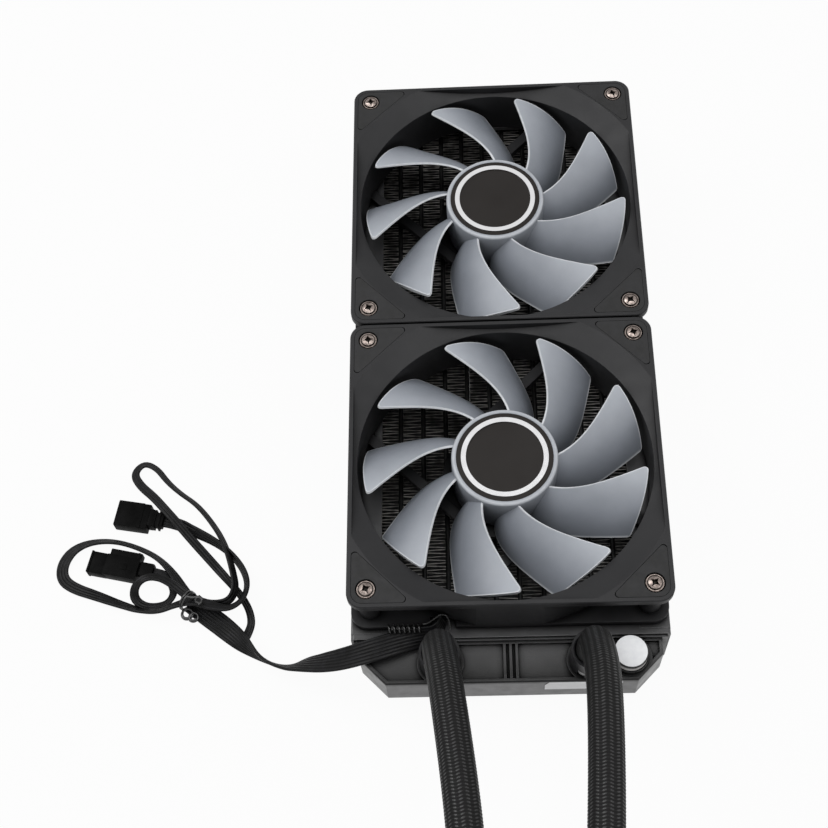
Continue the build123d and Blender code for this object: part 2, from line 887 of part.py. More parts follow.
def yoke_part(fan_y):
    """The steel cup that closes the magnet's field."""
    foot = hub_bottom + yoke_wall
    with BuildPart() as yoke:
        with BuildSketch(level(foot, fan_y)):
            Circle(yoke_r)
            Circle(yoke_r - yoke_wall, mode=Mode.SUBTRACT)
        extrude(amount=hub_ceiling - foot)
        with BuildSketch(level(hub_ceiling, fan_y)):
            Circle(yoke_r)
            Circle(boss_r + bearing_gap, mode=Mode.SUBTRACT)
        extrude(amount=-yoke_wall)
    return yoke


def stator_part(fan_y):
    """Laminated poles on the bearing tube, with a coil round each."""
    shoe = stator_r - pole_shoe
    root_r = bearing_tube_r + pole_root
    with BuildPart() as stator:
        with BuildSketch(level(fan_bottom + stator_lift, fan_y)):
            Circle(stator_r)
            Circle(shoe, mode=Mode.SUBTRACT)
            Circle(root_r)
            with PolarLocations((root_r + shoe) / 2, pole_count):
                Rectangle(shoe - root_r + pole_shoe, pole_width)
            with PolarLocations(stator_r, pole_count, start_angle=180 / pole_count):
                Rectangle(2 * (pole_shoe + stator_gap), pole_slot, mode=Mode.SUBTRACT)
            Circle(bearing_tube_r + bearing_gap, mode=Mode.SUBTRACT)
        extrude(amount=stator_height)
        with BuildSketch(level(fan_bottom + stator_lift + pole_slot / 2, fan_y)):
            with PolarLocations((root_r + shoe) / 2, pole_count):
                Rectangle(shoe - root_r - 2 * coil_gap, coil_width)
        extrude(amount=stator_height - pole_slot)
    return stator


shaft_foot = fan_bottom + motor_base_height + shaft_foot_gap
for place, fan_y in fan_places.items():
    save(f"fan_frame_{place}", frame_part(fan_y))
    save(f"corner_pads_{place}", pads_part(fan_y))
    save(f"fan_screws_{place}", screws_part(fan_y))
    save(f"rotor_{place}", rotor_part(fan_y, rotor_turn[place]))
    save(f"hub_cap_{place}", cap_part(fan_y))
    ring_foot = hub_top - ring_depth
    ring_height = ring_depth + ring_proud
    save(f"hub_ring_{place}", tube_part(ring_foot, fan_y, ring_outer_r, ring_inner_r, ring_height))
    save(f"yoke_{place}", yoke_part(fan_y))
    magnet_foot = hub_ceiling - yoke_wall - cap_gap - magnet_height
    save(f"magnet_{place}", tube_part(magnet_foot, fan_y, magnet_r, magnet_r - magnet_wall, magnet_height))
    shaft_top = hub_ceiling + hub_roof / 2
    save(f"shaft_{place}", tube_part(shaft_foot, fan_y, shaft_r, 0, shaft_top - shaft_foot))
    bearing_foot = fan_bottom + motor_base_height
    bearing_height = bearing_tube_height - motor_base_height
    save(f"bearing_{place}", tube_part(bearing_foot, fan_y, bearing_r, shaft_r + shaft_gap, bearing_height))
    save(f"stator_{place}", stator_part(fan_y))
    board_hole_r = bearing_tube_r + bearing_gap
    board = tube_part(fan_bottom + board_lift, fan_y, board_r, board_hole_r, board_thickness)
    save(f"circuit_board_{place}", board)


# Pump head
can_r = chamber_r + can_wall
can_top = chamber_top + can_wall
port_seats = [
    Plane(origin=(x, pump_y + port_face, port_z), x_dir=(1, 0, 0), z_dir=(0, 1, 0))
    for x in (-port_pitch / 2, port_pitch / 2)
]

with BuildPart() as pump_housing:
    with BuildSketch(level(pump_plate_height, pump_y)):
        Circle(pump_r)
    extrude(amount=pump_top - pump_plate_height)
    with BuildSketch(level(pump_plate_height, pump_y)):
        Circle(pump_r + base_flange_step)
    extrude(amount=base_flange_top - pump_plate_height)
    with BuildSketch(level(port_z - port_block_height / 2, pump_y)):
        with Locations((0, port_face / 2)):
            Rectangle(port_block_width, port_face)
    extrude(amount=port_block_height)
    fillet(pump_housing.edges().filter_by(Axis.Z).group_by(Axis.Y)[-1], port_block_round)
    # Rotor chamber, stator well and the can between them
    with BuildSketch(level(stator_well_floor, pump_y)):
        Circle(stator_well_r)
    extrude(amount=pump_top - stator_well_floor, mode=Mode.SUBTRACT)
    with BuildSketch(level(stator_well_floor, pump_y)):
        Circle(can_r)
    extrude(amount=can_top - stator_well_floor)
    with BuildSketch(level(pump_plate_height, pump_y)):
        Circle(chamber_r)
    extrude(amount=chamber_top - pump_plate_height, mode=Mode.SUBTRACT)
    with BuildSketch(level(chamber_top, pump_y)):
        Circle(shaft_r + seat_gap)
    extrude(amount=can_wall / 2, mode=Mode.SUBTRACT)
    # Gasket groove, screw holes, port holes and the outlet of the pump's own cable
    with BuildSketch(level(pump_plate_height, pump_y)):
        Circle(gasket_outer_r + seat_gap)
        Circle(gasket_outer_r - gasket_width - seat_gap, mode=Mode.SUBTRACT)
        with PolarLocations(plate_screw_circle, plate_screw_count):
            Circle(plate_screw_r + seat_gap)
    extrude(amount=gasket_height, mode=Mode.SUBTRACT)
    with BuildSketch(level(pump_plate_height, pump_y)):
        with PolarLocations(plate_screw_circle, plate_screw_count):
            Circle(plate_screw_r + seat_gap)
    extrude(amount=plate_screw_length, mode=Mode.SUBTRACT)
    with BuildSketch(*port_seats):
        Circle(hose_bore_r)
    extrude(amount=-barb_root - seat_gap, mode=Mode.SUBTRACT)
    with BuildSketch(Plane(origin=(pump_r, pump_y, outlet_z), x_dir=(0, 1, 0), z_dir=(1, 0, 0))):
        SlotOverall(*outlet_size)
    extrude(amount=-outlet_depth, mode=Mode.SUBTRACT)
save("pump_housing", pump_housing)

with BuildPart() as pump_cover:
    with BuildSketch(level(pump_top, pump_y)):
        Circle(pump_r - cover_step)
    extrude(amount=cover_height)
    fillet(pump_cover.edges().group_by(Axis.Z)[-1], cover_round)
save("pump_cover", pump_cover)

with BuildPart() as cold_plate:
    with BuildSketch(level(0, pump_y)):
        Circle(plate_r)
        with PolarLocations(plate_screw_circle, plate_screw_count):
            Circle(plate_screw_r + seat_gap, mode=Mode.SUBTRACT)
    extrude(amount=pump_plate_height)
    with BuildSketch(level(0, pump_y)):
        with PolarLocations(plate_screw_circle, plate_screw_count):
            Circle(plate_screw_head_r + seat_gap)
    extrude(amount=plate_screw_head + seat_gap, mode=Mode.SUBTRACT)
save("cold_plate", cold_plate)

with BuildPart() as cold_plate_screws:
    with BuildSketch(level(seat_gap, pump_y)):
        with PolarLocations(plate_screw_circle, plate_screw_count):
            Circle(plate_screw_head_r)
    extrude(amount=plate_screw_head)
    with BuildSketch(level(seat_gap, pump_y)):
        with PolarLocations(plate_screw_circle, plate_screw_count):
            Circle(plate_screw_r)
    extrude(amount=plate_screw_length)
save("cold_plate_screws", cold_plate_screws)

gasket_inner_r = gasket_outer_r - gasket_width
save("cold_plate_gasket", tube_part(pump_plate_height, pump_y, gasket_outer_r, gasket_inner_r, gasket_height))

with BuildPart() as pump_rotor:
    with BuildSketch(level(pump_rotor_foot + vane_height, pump_y)):
        Circle(pump_rotor_r)
    extrude(amount=pump_rotor_top - pump_rotor_foot - vane_height)
    with BuildSketch(level(pump_rotor_foot, pump_y)):
        Circle(impeller_boss_r)
        with PolarLocations(pump_rotor_r / 2, vane_count):
            Rectangle(pump_rotor_r, vane_width)
    extrude(amount=vane_height)
    with BuildSketch(level(pump_rotor_foot, pump_y)):
        Circle(shaft_r + shaft_gap)
    extrude(amount=pump_rotor_top - pump_rotor_foot, mode=Mode.SUBTRACT)
save("pump_rotor", pump_rotor)

pump_shaft_foot = pump_plate_height + seat_gap
pump_shaft_top = chamber_top + can_wall / 2 - seat_gap
save("pump_shaft", tube_part(pump_shaft_foot, pump_y, shaft_r, 0, pump_shaft_top - pump_shaft_foot))

with BuildPart() as pump_stator:
    with BuildSketch(level(stator_well_floor, pump_y)):
        Circle(stator_well_r - cap_gap)
        Circle(can_r + cap_gap, mode=Mode.SUBTRACT)
        with PolarLocations((stator_well_r + can_r) / 2 - can_wall, pump_stator_slots):
            SlotOverall(stator_well_r - can_r - 2 * can_wall, 2 * can_wall, mode=Mode.SUBTRACT)
    extrude(amount=pump_stator_height)
save("pump_stator", pump_stator)

with BuildPart() as pump_bracket:
    with BuildSketch(level(base_flange_top, pump_y)):
        Circle(pump_r + bracket_round)
        for turn in (45, 135):
            SlotOverall(2 * (bracket_hole_x * sqrt(2) + bracket_round), 2 * bracket_round, rotation=turn)
        Circle(pump_r + bracket_gap, mode=Mode.SUBTRACT)
        with GridLocations(2 * bracket_hole_x, 2 * bracket_hole_x, 2, 2):
            Circle(bracket_hole_r, mode=Mode.SUBTRACT)
    extrude(amount=bracket_thickness)
save("pump_bracket", pump_bracket)

with BuildPart() as pump_barbs:
    for seat in port_seats:
        add(barb(seat).part)
save("pump_barbs", pump_barbs)

with BuildPart() as pump_ferrules:
    for seat in port_seats:
        add(ferrule(seat).part)
save("pump_ferrules", pump_ferrules)


# Hoses and leads
def corner_radii(route):
    """Radius of the arc at each corner of a route, as large as its two runs allow."""
    radii = []
    for before, corner, after in zip(route, route[1:], route[2:]):
        run_in = Vector(*corner) - Vector(*before)
        run_out = Vector(*after) - Vector(*corner)
        half_turn = radians(run_in.get_angle(run_out)) / 2
        radii.append(0.45 * min(run_in.length, run_out.length) / tan(half_turn))
    return radii


def cord(name, route, outer_r, inner_r=0):
    """A plain tube along a route of straight runs joined by tangent arcs."""
    radii = corner_radii(route)
    with BuildPart() as tube:
        with BuildLine() as path:
            FilletPolyline(*route, radius=radii)
        with BuildSketch(Plane(origin=route[0], z_dir=Vector(*route[1]) - Vector(*route[0]))):
            Circle(outer_r)
            if inner_r:
                Circle(inner_r, mode=Mode.SUBTRACT)
        sweep(path=path.wire())
    length = path.wire().length
    section = pi * (outer_r**2 - inner_r**2)
    print(name, "length", round(length, 1), "volume over section", round(tube.part.volume / section, 1))
    print(name, "radii", [round(radius, 1) for radius in radii])
    save(name, tube)


for place, route in hose_routes.items():
    cord(f"hose_{place}", route, hose_r, hose_bore_r)
cord("fan_lead", fan_lead_route, fan_lead_r)
cord("speed_lead", speed_lead_route, speed_lead_r)
cord("light_lead", light_lead_route, light_lead_r)


def plug_plane(start, angle):
    """A plane on the ground under a lead's end, its X pointing along the plug."""
    turn = radians(angle)
    return Plane(origin=(start[0], start[1], 0), x_dir=(cos(turn), sin(turn), 0))


with BuildPart() as speed_plug:
    ground = plug_plane(speed_lead_route[-1], speed_plug_angle)
    with BuildSketch(ground):
        with Locations((boot_length + plug_length / 2, 0)):
            Rectangle(plug_length, plug_width)
    extrude(amount=plug_height)
    chamfer(speed_plug.edges().group_by(Axis.Z)[-1], plug_edge)
    with BuildSketch(ground.offset((plug_height - boot_height) / 2)):
        with Locations((boot_length / 2, 0)):
            Rectangle(boot_length, boot_width)
    extrude(amount=boot_height)
save("speed_plug", speed_plug)

with BuildPart() as light_plug:
    ground = plug_plane(light_lead_route[-1], light_plug_angle)
    with BuildSketch(ground):
        with Locations((boot_length + plug_length / 2, -light_plug_shift)):
            Rectangle(plug_length, light_plug_width)
    extrude(amount=plug_height)
    chamfer(light_plug.edges().group_by(Axis.Z)[-1], plug_edge)
    with BuildSketch(ground):
        with Locations((boot_length + plug_length + shroud_length / 2, -light_plug_shift)):
            Rectangle(shroud_length, light_plug_width)
    extrude(amount=plug_height - 2 * plug_edge)
    with BuildSketch(ground):
        latch_shift = -light_plug_shift - (light_plug_width + latch_width) / 2
        with Locations((boot_length + plug_length / 2, latch_shift)):
            Rectangle(plug_length - plug_edge, latch_width)
    extrude(amount=latch_height)
    with BuildSketch(ground.offset((plug_height - boot_height) / 2)):
        with Locations((boot_length / 2, 0)):
            Rectangle(boot_length, boot_width)
    extrude(amount=boot_height)
save("light_plug", light_plug)

with BuildPart() as lead_tie:
    along = (cos(radians(tie_angle)), sin(radians(tie_angle)), 0)
    across = (-sin(radians(tie_angle)), cos(radians(tie_angle)), 0)
    with BuildSketch(Plane(origin=tie_place, x_dir=across, z_dir=along)):
        SlotOverall(tie_inner[1] + 2 * tie_wire, tie_inner[0] + 2 * tie_wire, rotation=90)
        SlotOverall(tie_inner[1], tie_inner[0], rotation=90, mode=Mode.SUBTRACT)
    extrude(amount=tie_length / 2, both=True)
save("lead_tie", lead_tie)

with BuildPart() as coil_tie:
    with BuildSketch(Plane(origin=coil_tie_place, x_dir=(0, 1, 0), z_dir=(1, 0, 0))):
        Circle(coil_tie_r)
        Circle(coil_tie_bore_r, mode=Mode.SUBTRACT)
    extrude(amount=coil_tie_length)
save("coil_tie", coil_tie)
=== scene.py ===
import bmesh
import bpy
import json
import math
import numpy as np
import random
from mathutils import Matrix, Vector


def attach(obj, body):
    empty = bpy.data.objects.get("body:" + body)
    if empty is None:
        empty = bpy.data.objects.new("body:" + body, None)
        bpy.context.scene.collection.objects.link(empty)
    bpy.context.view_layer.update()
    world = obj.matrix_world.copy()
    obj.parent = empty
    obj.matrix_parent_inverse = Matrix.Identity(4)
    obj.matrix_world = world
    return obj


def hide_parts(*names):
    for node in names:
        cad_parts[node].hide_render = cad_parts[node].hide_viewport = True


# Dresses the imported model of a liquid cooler. Sizes are in millimetres, apart from those
# of the camera and the stage, and every mesh is written out in metres.

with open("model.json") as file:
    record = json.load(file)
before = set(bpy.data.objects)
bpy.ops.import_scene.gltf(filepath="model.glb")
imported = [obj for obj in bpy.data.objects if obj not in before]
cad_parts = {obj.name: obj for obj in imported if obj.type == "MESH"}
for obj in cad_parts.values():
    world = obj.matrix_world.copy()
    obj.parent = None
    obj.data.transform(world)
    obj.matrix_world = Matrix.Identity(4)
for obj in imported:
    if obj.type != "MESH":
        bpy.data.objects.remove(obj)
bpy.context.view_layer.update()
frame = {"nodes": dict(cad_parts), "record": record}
nodes = frame["nodes"]
scene = bpy.context.scene
scene.view_settings.view_transform = "Standard"
MM = 0.001
random.seed(7)


# Camera and stage, in metres
def place_camera():
    data = bpy.data.cameras.new("camera")
    data.sensor_width = 36.0
    data.lens = 62.49
    data.clip_end = 20.0
    camera = bpy.data.objects.new("camera", data)
    right = Vector((0.998657, -0.005266, -0.051543))
    up = Vector((0.02838, 0.887905, 0.459151))
    turn = Matrix((right, up, right.cross(up))).transposed().to_4x4()
    camera.matrix_world = Matrix.Translation((-0.0103, -0.2969, 0.5450)) @ turn
    scene.collection.objects.link(camera)
    scene.camera = camera


def seen_ray(tree):
    """1 for a ray from the camera, or one reflected or passed on by the object."""
    path = tree.nodes.new("ShaderNodeLightPath")
    seen = path.outputs["Is Camera Ray"]
    for kind in ("Is Glossy Ray", "Is Transmission Ray"):
        more = tree.nodes.new("ShaderNodeMath")
        more.operation = "MAXIMUM"
        tree.links.new(seen, more.inputs[0])
        tree.links.new(path.outputs[kind], more.inputs[1])
        seen = more.outputs[0]
    return seen


def place_stage():
    """A white floor that keeps a faint shadow, and a white world for all that is seen."""
    floor_mesh = bpy.data.meshes.new("floor")
    size = 6.0
    low = -0.0002
    white_share = 0.95
    corners = [(-size, -size, low), (size, -size, low), (size, size, low), (-size, size, low)]
    floor_mesh.from_pydata(corners, [], [(0, 1, 2, 3)])
    floor = bpy.data.objects.new("floor", floor_mesh)
    scene.collection.objects.link(floor)
    material = bpy.data.materials.new("floor_white")
    material.use_nodes = True
    tree = material.node_tree
    tree.nodes.clear()
    output = tree.nodes.new("ShaderNodeOutputMaterial")
    mix = tree.nodes.new("ShaderNodeMixShader")
    plain = tree.nodes.new("ShaderNodeBsdfDiffuse")
    plain.inputs["Color"].default_value = (0.5, 0.5, 0.5, 1)
    glow = tree.nodes.new("ShaderNodeEmission")
    glow.inputs["Strength"].default_value = 1.0
    share = tree.nodes.new("ShaderNodeMath")
    share.operation = "MULTIPLY"
    share.inputs[1].default_value = white_share
    tree.links.new(seen_ray(tree), share.inputs[0])
    tree.links.new(share.outputs[0], mix.inputs["Fac"])
    tree.links.new(plain.outputs[0], mix.inputs[1])
    tree.links.new(glow.outputs[0], mix.inputs[2])
    tree.links.new(mix.outputs[0], output.inputs["Surface"])
    floor_mesh.materials.append(material)

    world = bpy.data.worlds.new("studio")
    world.use_nodes = True
    tree = world.node_tree
    back = tree.nodes["Background"]
    back.inputs["Color"].default_value = (1, 1, 1, 1)
    strength = tree.nodes.new("ShaderNodeMapRange")
    strength.inputs["To Min"].default_value = 0.42
    strength.inputs["To Max"].default_value = 1.0
    tree.links.new(seen_ray(tree), strength.inputs["Value"])
    tree.links.new(strength.outputs["Result"], back.inputs["Strength"])
    scene.world = world


def place_lamp(name, place, size, power):
    aim = (0, -0.05, 0)
    data = bpy.data.lights.new(name, "AREA")
    data.shape = "RECTANGLE"
    data.size = size[0]
    data.size_y = size[1]
    data.energy = power
    lamp = bpy.data.objects.new(name, data)
    lamp.location = place
    lamp.rotation_euler = (Vector(aim) - Vector(place)).to_track_quat("-Z", "Y").to_euler()
    scene.collection.objects.link(lamp)


place_camera()
place_stage()
place_lamp("key", (-1.0, 0.35, 1.4), (1.0, 1.0), 15.0)
place_lamp("fill", (1.2, -0.2, 1.3), (1.0, 1.0), 6.0)
place_lamp("top", (0.1, -0.15, 1.7), (1.0, 0.8), 10.0)


# Materials
# Places of the colour sockets of a Mix node
COLOUR_A = 6
COLOUR_B = 7
COLOUR_OUT = 2


class Look:
    """A node material with a Principled shader, and short ways to feed it."""

    def __init__(self, name, **values):
        self.material = bpy.data.materials.new(name)
        self.material.use_nodes = True
        self.tree = self.material.node_tree
        self.shader = self.tree.nodes["Principled BSDF"]
        for key, value in values.items():
            self.shader.inputs[key.replace("_", " ")].default_value = value
        self.place = self.tree.nodes.new("ShaderNodeTexCoord").outputs["Object"]

    def link(self, source, target):
        self.tree.links.new(source, target)

    def noise(self, size, detail=4.0, stretch=None):
        """Noise whose spots are about size millimetres."""
        place = self.place
        if stretch:
            mapping = self.tree.nodes.new("ShaderNodeMapping")
            mapping.inputs["Scale"].default_value = stretch
            self.link(place, mapping.inputs["Vector"])
            place = mapping.outputs["Vector"]
        node = self.tree.nodes.new("ShaderNodeTexNoise")
        node.inputs["Scale"].default_value = 1000.0 / size
        node.inputs["Detail"].default_value = detail
        self.link(place, node.inputs["Vector"])
        return node.outputs["Fac"]

    def ramp(self, source, stops):
        node = self.tree.nodes.new("ShaderNodeValToRGB")
        ramp = node.color_ramp
        while len(ramp.elements) < len(stops):
            ramp.elements.new(0.5)
        for element, (position, colour) in zip(ramp.elements, stops):
            element.position = position
            element.color = (*colour, 1)
        self.link(source, node.inputs["Fac"])
        return node.outputs["Color"]

    def patches(self, size, dark, light, detail=4.0):
        """Colour that wanders between two shades over spots of size millimetres."""
        return self.ramp(self.noise(size, detail), [(0.3, dark), (0.7, light)])

    def span(self, source, low, high, start=0.3, end=0.7):
        node = self.tree.nodes.new("ShaderNodeMapRange")
        node.inputs["From Min"].default_value = start
        node.inputs["From Max"].default_value = end
        node.inputs["To Min"].default_value = low
        node.inputs["To Max"].default_value = high
        self.link(source, node.inputs["Value"])
        return node.outputs["Result"]

    def blend(self, mode, first, second):
        node = self.tree.nodes.new("ShaderNodeMix")
        node.data_type = "RGBA"
        node.blend_type = mode
        self.link(first, node.inputs[COLOUR_A])
        self.link(second, node.inputs[COLOUR_B])
        return node

    def mix(self, share, first, second):
        """The first colour, giving way to the second by a share."""
        node = self.blend("MIX", first, second)
        self.link(share, node.inputs["Factor"])
        return node.outputs[COLOUR_OUT]

    def tint(self, colour, shade):
        """A colour multiplied by another one or by a number."""
        node = self.blend("MULTIPLY", colour, shade)
        node.inputs["Factor"].default_value = 1.0
        return node.outputs[COLOUR_OUT]

    def attribute(self, name):
        node = self.tree.nodes.new("ShaderNodeAttribute")
        node.attribute_name = name
        return node.outputs["Fac"]

    def along(self, letter, start, end):
        """0 at start to 1 at end along an axis."""
        node = self.tree.nodes.new("ShaderNodeSeparateXYZ")
        self.link(self.place, node.inputs[0])
        return self.span(node.outputs[letter], 0.0, 1.0, start * MM, end * MM)

    def colour(self, source):
        self.link(source, self.shader.inputs["Base Color"])

    def rough(self, source):
        self.link(source, self.shader.inputs["Roughness"])

    def sheen(self, source):
        self.link(source, self.shader.inputs["Specular IOR Level"])

    def times(self, first, second):
        node = self.tree.nodes.new("ShaderNodeMath")
        node.operation = "MULTIPLY"
        self.link(first, node.inputs[0])
        self.link(second, node.inputs[1])
        return node.outputs[0]

    def crease_shade(self, reach, darkest):
        """Painted shade: 1 on open faces, down to darkest in grooves narrower than reach
        millimetres.
        """
        node = self.tree.nodes.new("ShaderNodeAmbientOcclusion")
        node.samples = 8
        node.inputs["Distance"].default_value = reach * MM
        return self.span(node.outputs["AO"], darkest, 1.0, 0.45, 0.95)

    def rounded(self, reach):
        """Normals as if every edge were rounded to a radius of reach millimetres."""
        node = self.tree.nodes.new("ShaderNodeBevel")
        node.samples = 6
        node.inputs["Radius"].default_value = reach * MM
        return node.outputs["Normal"]

    def edge_highlight(self, colour, reach, pale):
        """The colour with a painted highlight: paler within reach millimetres of an edge."""
        true = self.tree.nodes.new("ShaderNodeNewGeometry").outputs["Normal"]
        facing = self.tree.nodes.new("ShaderNodeVectorMath")
        facing.operation = "DOT_PRODUCT"
        self.link(self.rounded(reach), facing.inputs[0])
        self.link(true, facing.inputs[1])
        return self.mix(self.span(facing.outputs["Value"], 1.0, 0.0, 0.86, 0.99), colour, pale)

    def bump(self, source, depth, edge=0.0):
        """Bump whose full height is depth millimetres, over edges rounded to a radius."""
        node = self.tree.nodes.new("ShaderNodeBump")
        node.inputs["Distance"].default_value = depth * MM
        self.link(source, node.inputs["Height"])
        if edge:
            self.link(self.rounded(edge), node.inputs["Normal"])
        self.link(node.outputs["Normal"], self.shader.inputs["Normal"])


def mottled(name, dark, light, spot, rough, grain, depth, **values):
    """A patchy colour with a fine grain in the surface."""
    look = Look(name, **values)
    look.colour(look.patches(spot, dark, light))
    look.rough(look.span(look.noise(spot / 3), *rough))
    look.bump(look.noise(grain, 2.0), depth)
    return look.material


looks = {
    "bright_metal": mottled(
        "bright_metal", (0.68, 0.68, 0.69), (0.74, 0.74, 0.75), 8, (0.16, 0.22), 0.3, 0.001,
        Metallic=1.0
    ),
    "collar": mottled(
        "collar_paint", (0.007, 0.007, 0.008), (0.012, 0.012, 0.013), 4, (0.34, 0.46), 0.4, 0.01,
        Specular_IOR_Level=0.15
    ),
    "black_plastic": mottled(
        "black_plastic", (0.002, 0.002, 0.002), (0.005, 0.005, 0.005), 5, (0.34, 0.46), 0.25, 0.015,
        Specular_IOR_Level=0.02
    ),
    "seal_paper": mottled(
        "seal_paper", (0.72, 0.73, 0.75), (0.79, 0.80, 0.81), 2, (0.5, 0.65), 0.2, 0.008,
        Specular_IOR_Level=0.2
    ),
    "soft_rubber": mottled(
        "soft_rubber", (0.016, 0.016, 0.016), (0.021, 0.021, 0.022), 6, (0.55, 0.7), 0.3, 0.03,
        Specular_IOR_Level=0.2
    ),
    "screw_steel": mottled(
        "screw_steel", (0.17, 0.14, 0.125), (0.34, 0.29, 0.26), 1.5, (0.24, 0.4), 0.4, 0.02,
        Metallic=1.0
    ),
    "bearing_bronze": mottled(
        "bearing_bronze", (0.42, 0.27, 0.12), (0.55, 0.38, 0.2), 1, (0.35, 0.5), 0.3, 0.02,
        Metallic=1.0
    ),
    "plain_steel": mottled(
        "plain_steel", (0.33, 0.33, 0.34), (0.45, 0.45, 0.46), 3, (0.28, 0.42), 0.4, 0.01,
        Metallic=1.0
    ),
    "board": mottled(
        "board_lacquer", (0.01, 0.09, 0.035), (0.016, 0.13, 0.05), 4, (0.3, 0.45), 0.5, 0.02
    ),
    "gloss_cover": mottled(
        "smooth_cover", (0.013, 0.011, 0.010), (0.016, 0.014, 0.013), 16, (0.36, 0.44), 0.3, 0.006,
        Specular_IOR_Level=0.14
    ),
    "magnet_ferrite": mottled(
        "magnet_ferrite", (0.04, 0.04, 0.042), (0.065, 0.065, 0.07), 2, (0.5, 0.7), 0.3, 0.02
    ),
    "copper": mottled(
        "lapped_copper", (0.62, 0.30, 0.18), (0.74, 0.40, 0.26), 6, (0.22, 0.34), 0.3, 0.006,
        Metallic=1.0
    ),
    "bracket_paint": mottled(
        "bracket_paint", (0.016, 0.016, 0.017), (0.026, 0.026, 0.028), 8, (0.45, 0.6), 0.5, 0.04,
        Specular_IOR_Level=0.25
    ),
    "tie_cover": mottled(
        "tie_cover", (0.005, 0.005, 0.005), (0.010, 0.010, 0.010), 2, (0.2, 0.3), 0.3, 0.01,
        Specular_IOR_Level=0.6
    ),
}


def paint_look():
    """Satin paint with a painted highlight on its edges, painted shade in creases and a painted
    shadow at the front of the tank's top.
    """
    look = Look("satin_paint")
    open_paint = look.patches(14, (0.042, 0.042, 0.043), (0.058, 0.058, 0.060))
    shaded = look.patches(9, (0.003, 0.003, 0.003), (0.009, 0.009, 0.009))
    # Colour of the painted highlight on edges
    pale = look.patches(3, (0.07, 0.07, 0.071), (0.12, 0.12, 0.122))
    shadow = look.times(look.along("Y", -124.5, -136.5), look.along("Z", 21.8, 22.6))
    # Painted shade in creases, on the colour and on the sheen
    crease_shade = look.crease_shade(3.0, 0.05)
    colour = look.edge_highlight(look.mix(shadow, open_paint, shaded), 0.4, pale)
    look.colour(look.tint(colour, crease_shade))
    look.sheen(look.times(crease_shade, look.span(shadow, 0.4, 0.24, 0.0, 1.0)))
    look.rough(look.span(look.noise(5), 0.28, 0.4))
    look.bump(look.noise(0.5, 2.0), 0.03, edge=0.45)
    return look.material


def frame_look():
    """Moulded plastic: fine grain, a painted highlight on its edges and painted shade in its seams.
    """
    look = Look("frame_plastic")
    plain = look.patches(18, (0.013, 0.013, 0.014), (0.018, 0.018, 0.019))
    # Colour of the painted highlight on edges; painted shade in the seams follows
    pale = look.patches(4, (0.028, 0.028, 0.029), (0.045, 0.045, 0.046))
    crease_shade = look.crease_shade(4.0, 0.1)
    look.colour(look.tint(look.edge_highlight(plain, 0.35, pale), crease_shade))
    look.sheen(look.span(crease_shade, 0.02, 0.2, 0.1, 1.0))
    look.rough(look.span(look.noise(6), 0.42, 0.52))
    look.bump(look.noise(0.35, 2.0), 0.03, edge=0.35)
    return look.material


def core_look():
    """Thin black paint on folded strip, with a painted highlight along its upper edges."""
    look = Look("core_paint", Specular_IOR_Level=0.25)
    streaks = look.noise(4.5, 2.0, (1.0, 0.5, 1.0))
    # Painted highlight along the tops of the strips, in streaks
    top_highlight = look.ramp(streaks, [(0.36, (0.06, 0.058, 0.055)), (0.62, (0.27, 0.26, 0.245))])
    deep = look.patches(6, (0.003, 0.003, 0.003), (0.007, 0.007, 0.007))
    look.colour(look.mix(look.along("Z", 19.9, 20.5), deep, top_highlight))
    look.rough(look.span(look.noise(2), 0.35, 0.55))
    look.bump(look.noise(0.7), 0.05)
    return look.material


def tube_look():
    """Black paint on the tubes, a little paler where they catch the light."""
    return mottled(
        "tube_paint", (0.005, 0.005, 0.005), (0.013, 0.013, 0.013), 3, (0.4, 0.55), 0.6, 0.03,
        Specular_IOR_Level=0.15
    )


def plug_look():
    """Fill plug: bare metal side with a black ring round its top."""
    look = Look("fill_plug_finish", Specular_IOR_Level=0.3)
    metal = look.patches(2, (0.42, 0.41, 0.40), (0.54, 0.53, 0.52))
    black = look.patches(2, (0.010, 0.010, 0.010), (0.016, 0.016, 0.016))
    look.colour(look.mix(look.along("Z", 29.7, 29.9), metal, black))
    look.rough(look.span(look.noise(1), 0.3, 0.42))
    look.bump(look.noise(0.4), 0.01)
    return look.material


def lead_look():
    """Flat wires side by side, half matt, with dull scuffs and painted shade in the grooves between
    the wires.
    """
    look = Look("lead_cover")
    plain = look.ramp(look.noise(3), [(0.35, (0.005, 0.005, 0.005)), (0.7, (0.010, 0.010, 0.011))])
    # Painted shade in the grooves, on the colour and on the sheen
    crease_shade = look.crease_shade(1.2, 0.1)
    look.colour(look.tint(plain, crease_shade))
    look.sheen(look.span(crease_shade, 0.01, 0.11, 0.1, 1.0))
    look.rough(look.span(look.noise(5), 0.28, 0.42))
    look.bump(look.noise(0.5), 0.02)
    return look.material


def braid_look():
    """Tight braid: shiny on the crowns of the strands and matt between them, with a painted
    highlight on the crowns and painted shade between them.
    """
    look = Look("hose_braid")
    crown = look.attribute("crown")
    # Painted highlight on the crowns and painted shade between the strands
    base = look.ramp(
        crown,
        [(0.3, (0.003, 0.003, 0.003)), (0.6, (0.008, 0.008, 0.008)), (0.95, (0.045, 0.045, 0.046))],
    )
    look.sheen(look.span(crown, 0.17, 0.45, 0.55, 0.95))
    look.colour(look.tint(base, look.patches(1.6, (0.45, 0.45, 0.45), (1.0, 1.0, 1.0), 3.0)))
    look.rough(look.span(crown, 0.7, 0.24, 0.4, 0.9))
    look.bump(look.noise(0.22, 2.0), 0.03)
    return look.material


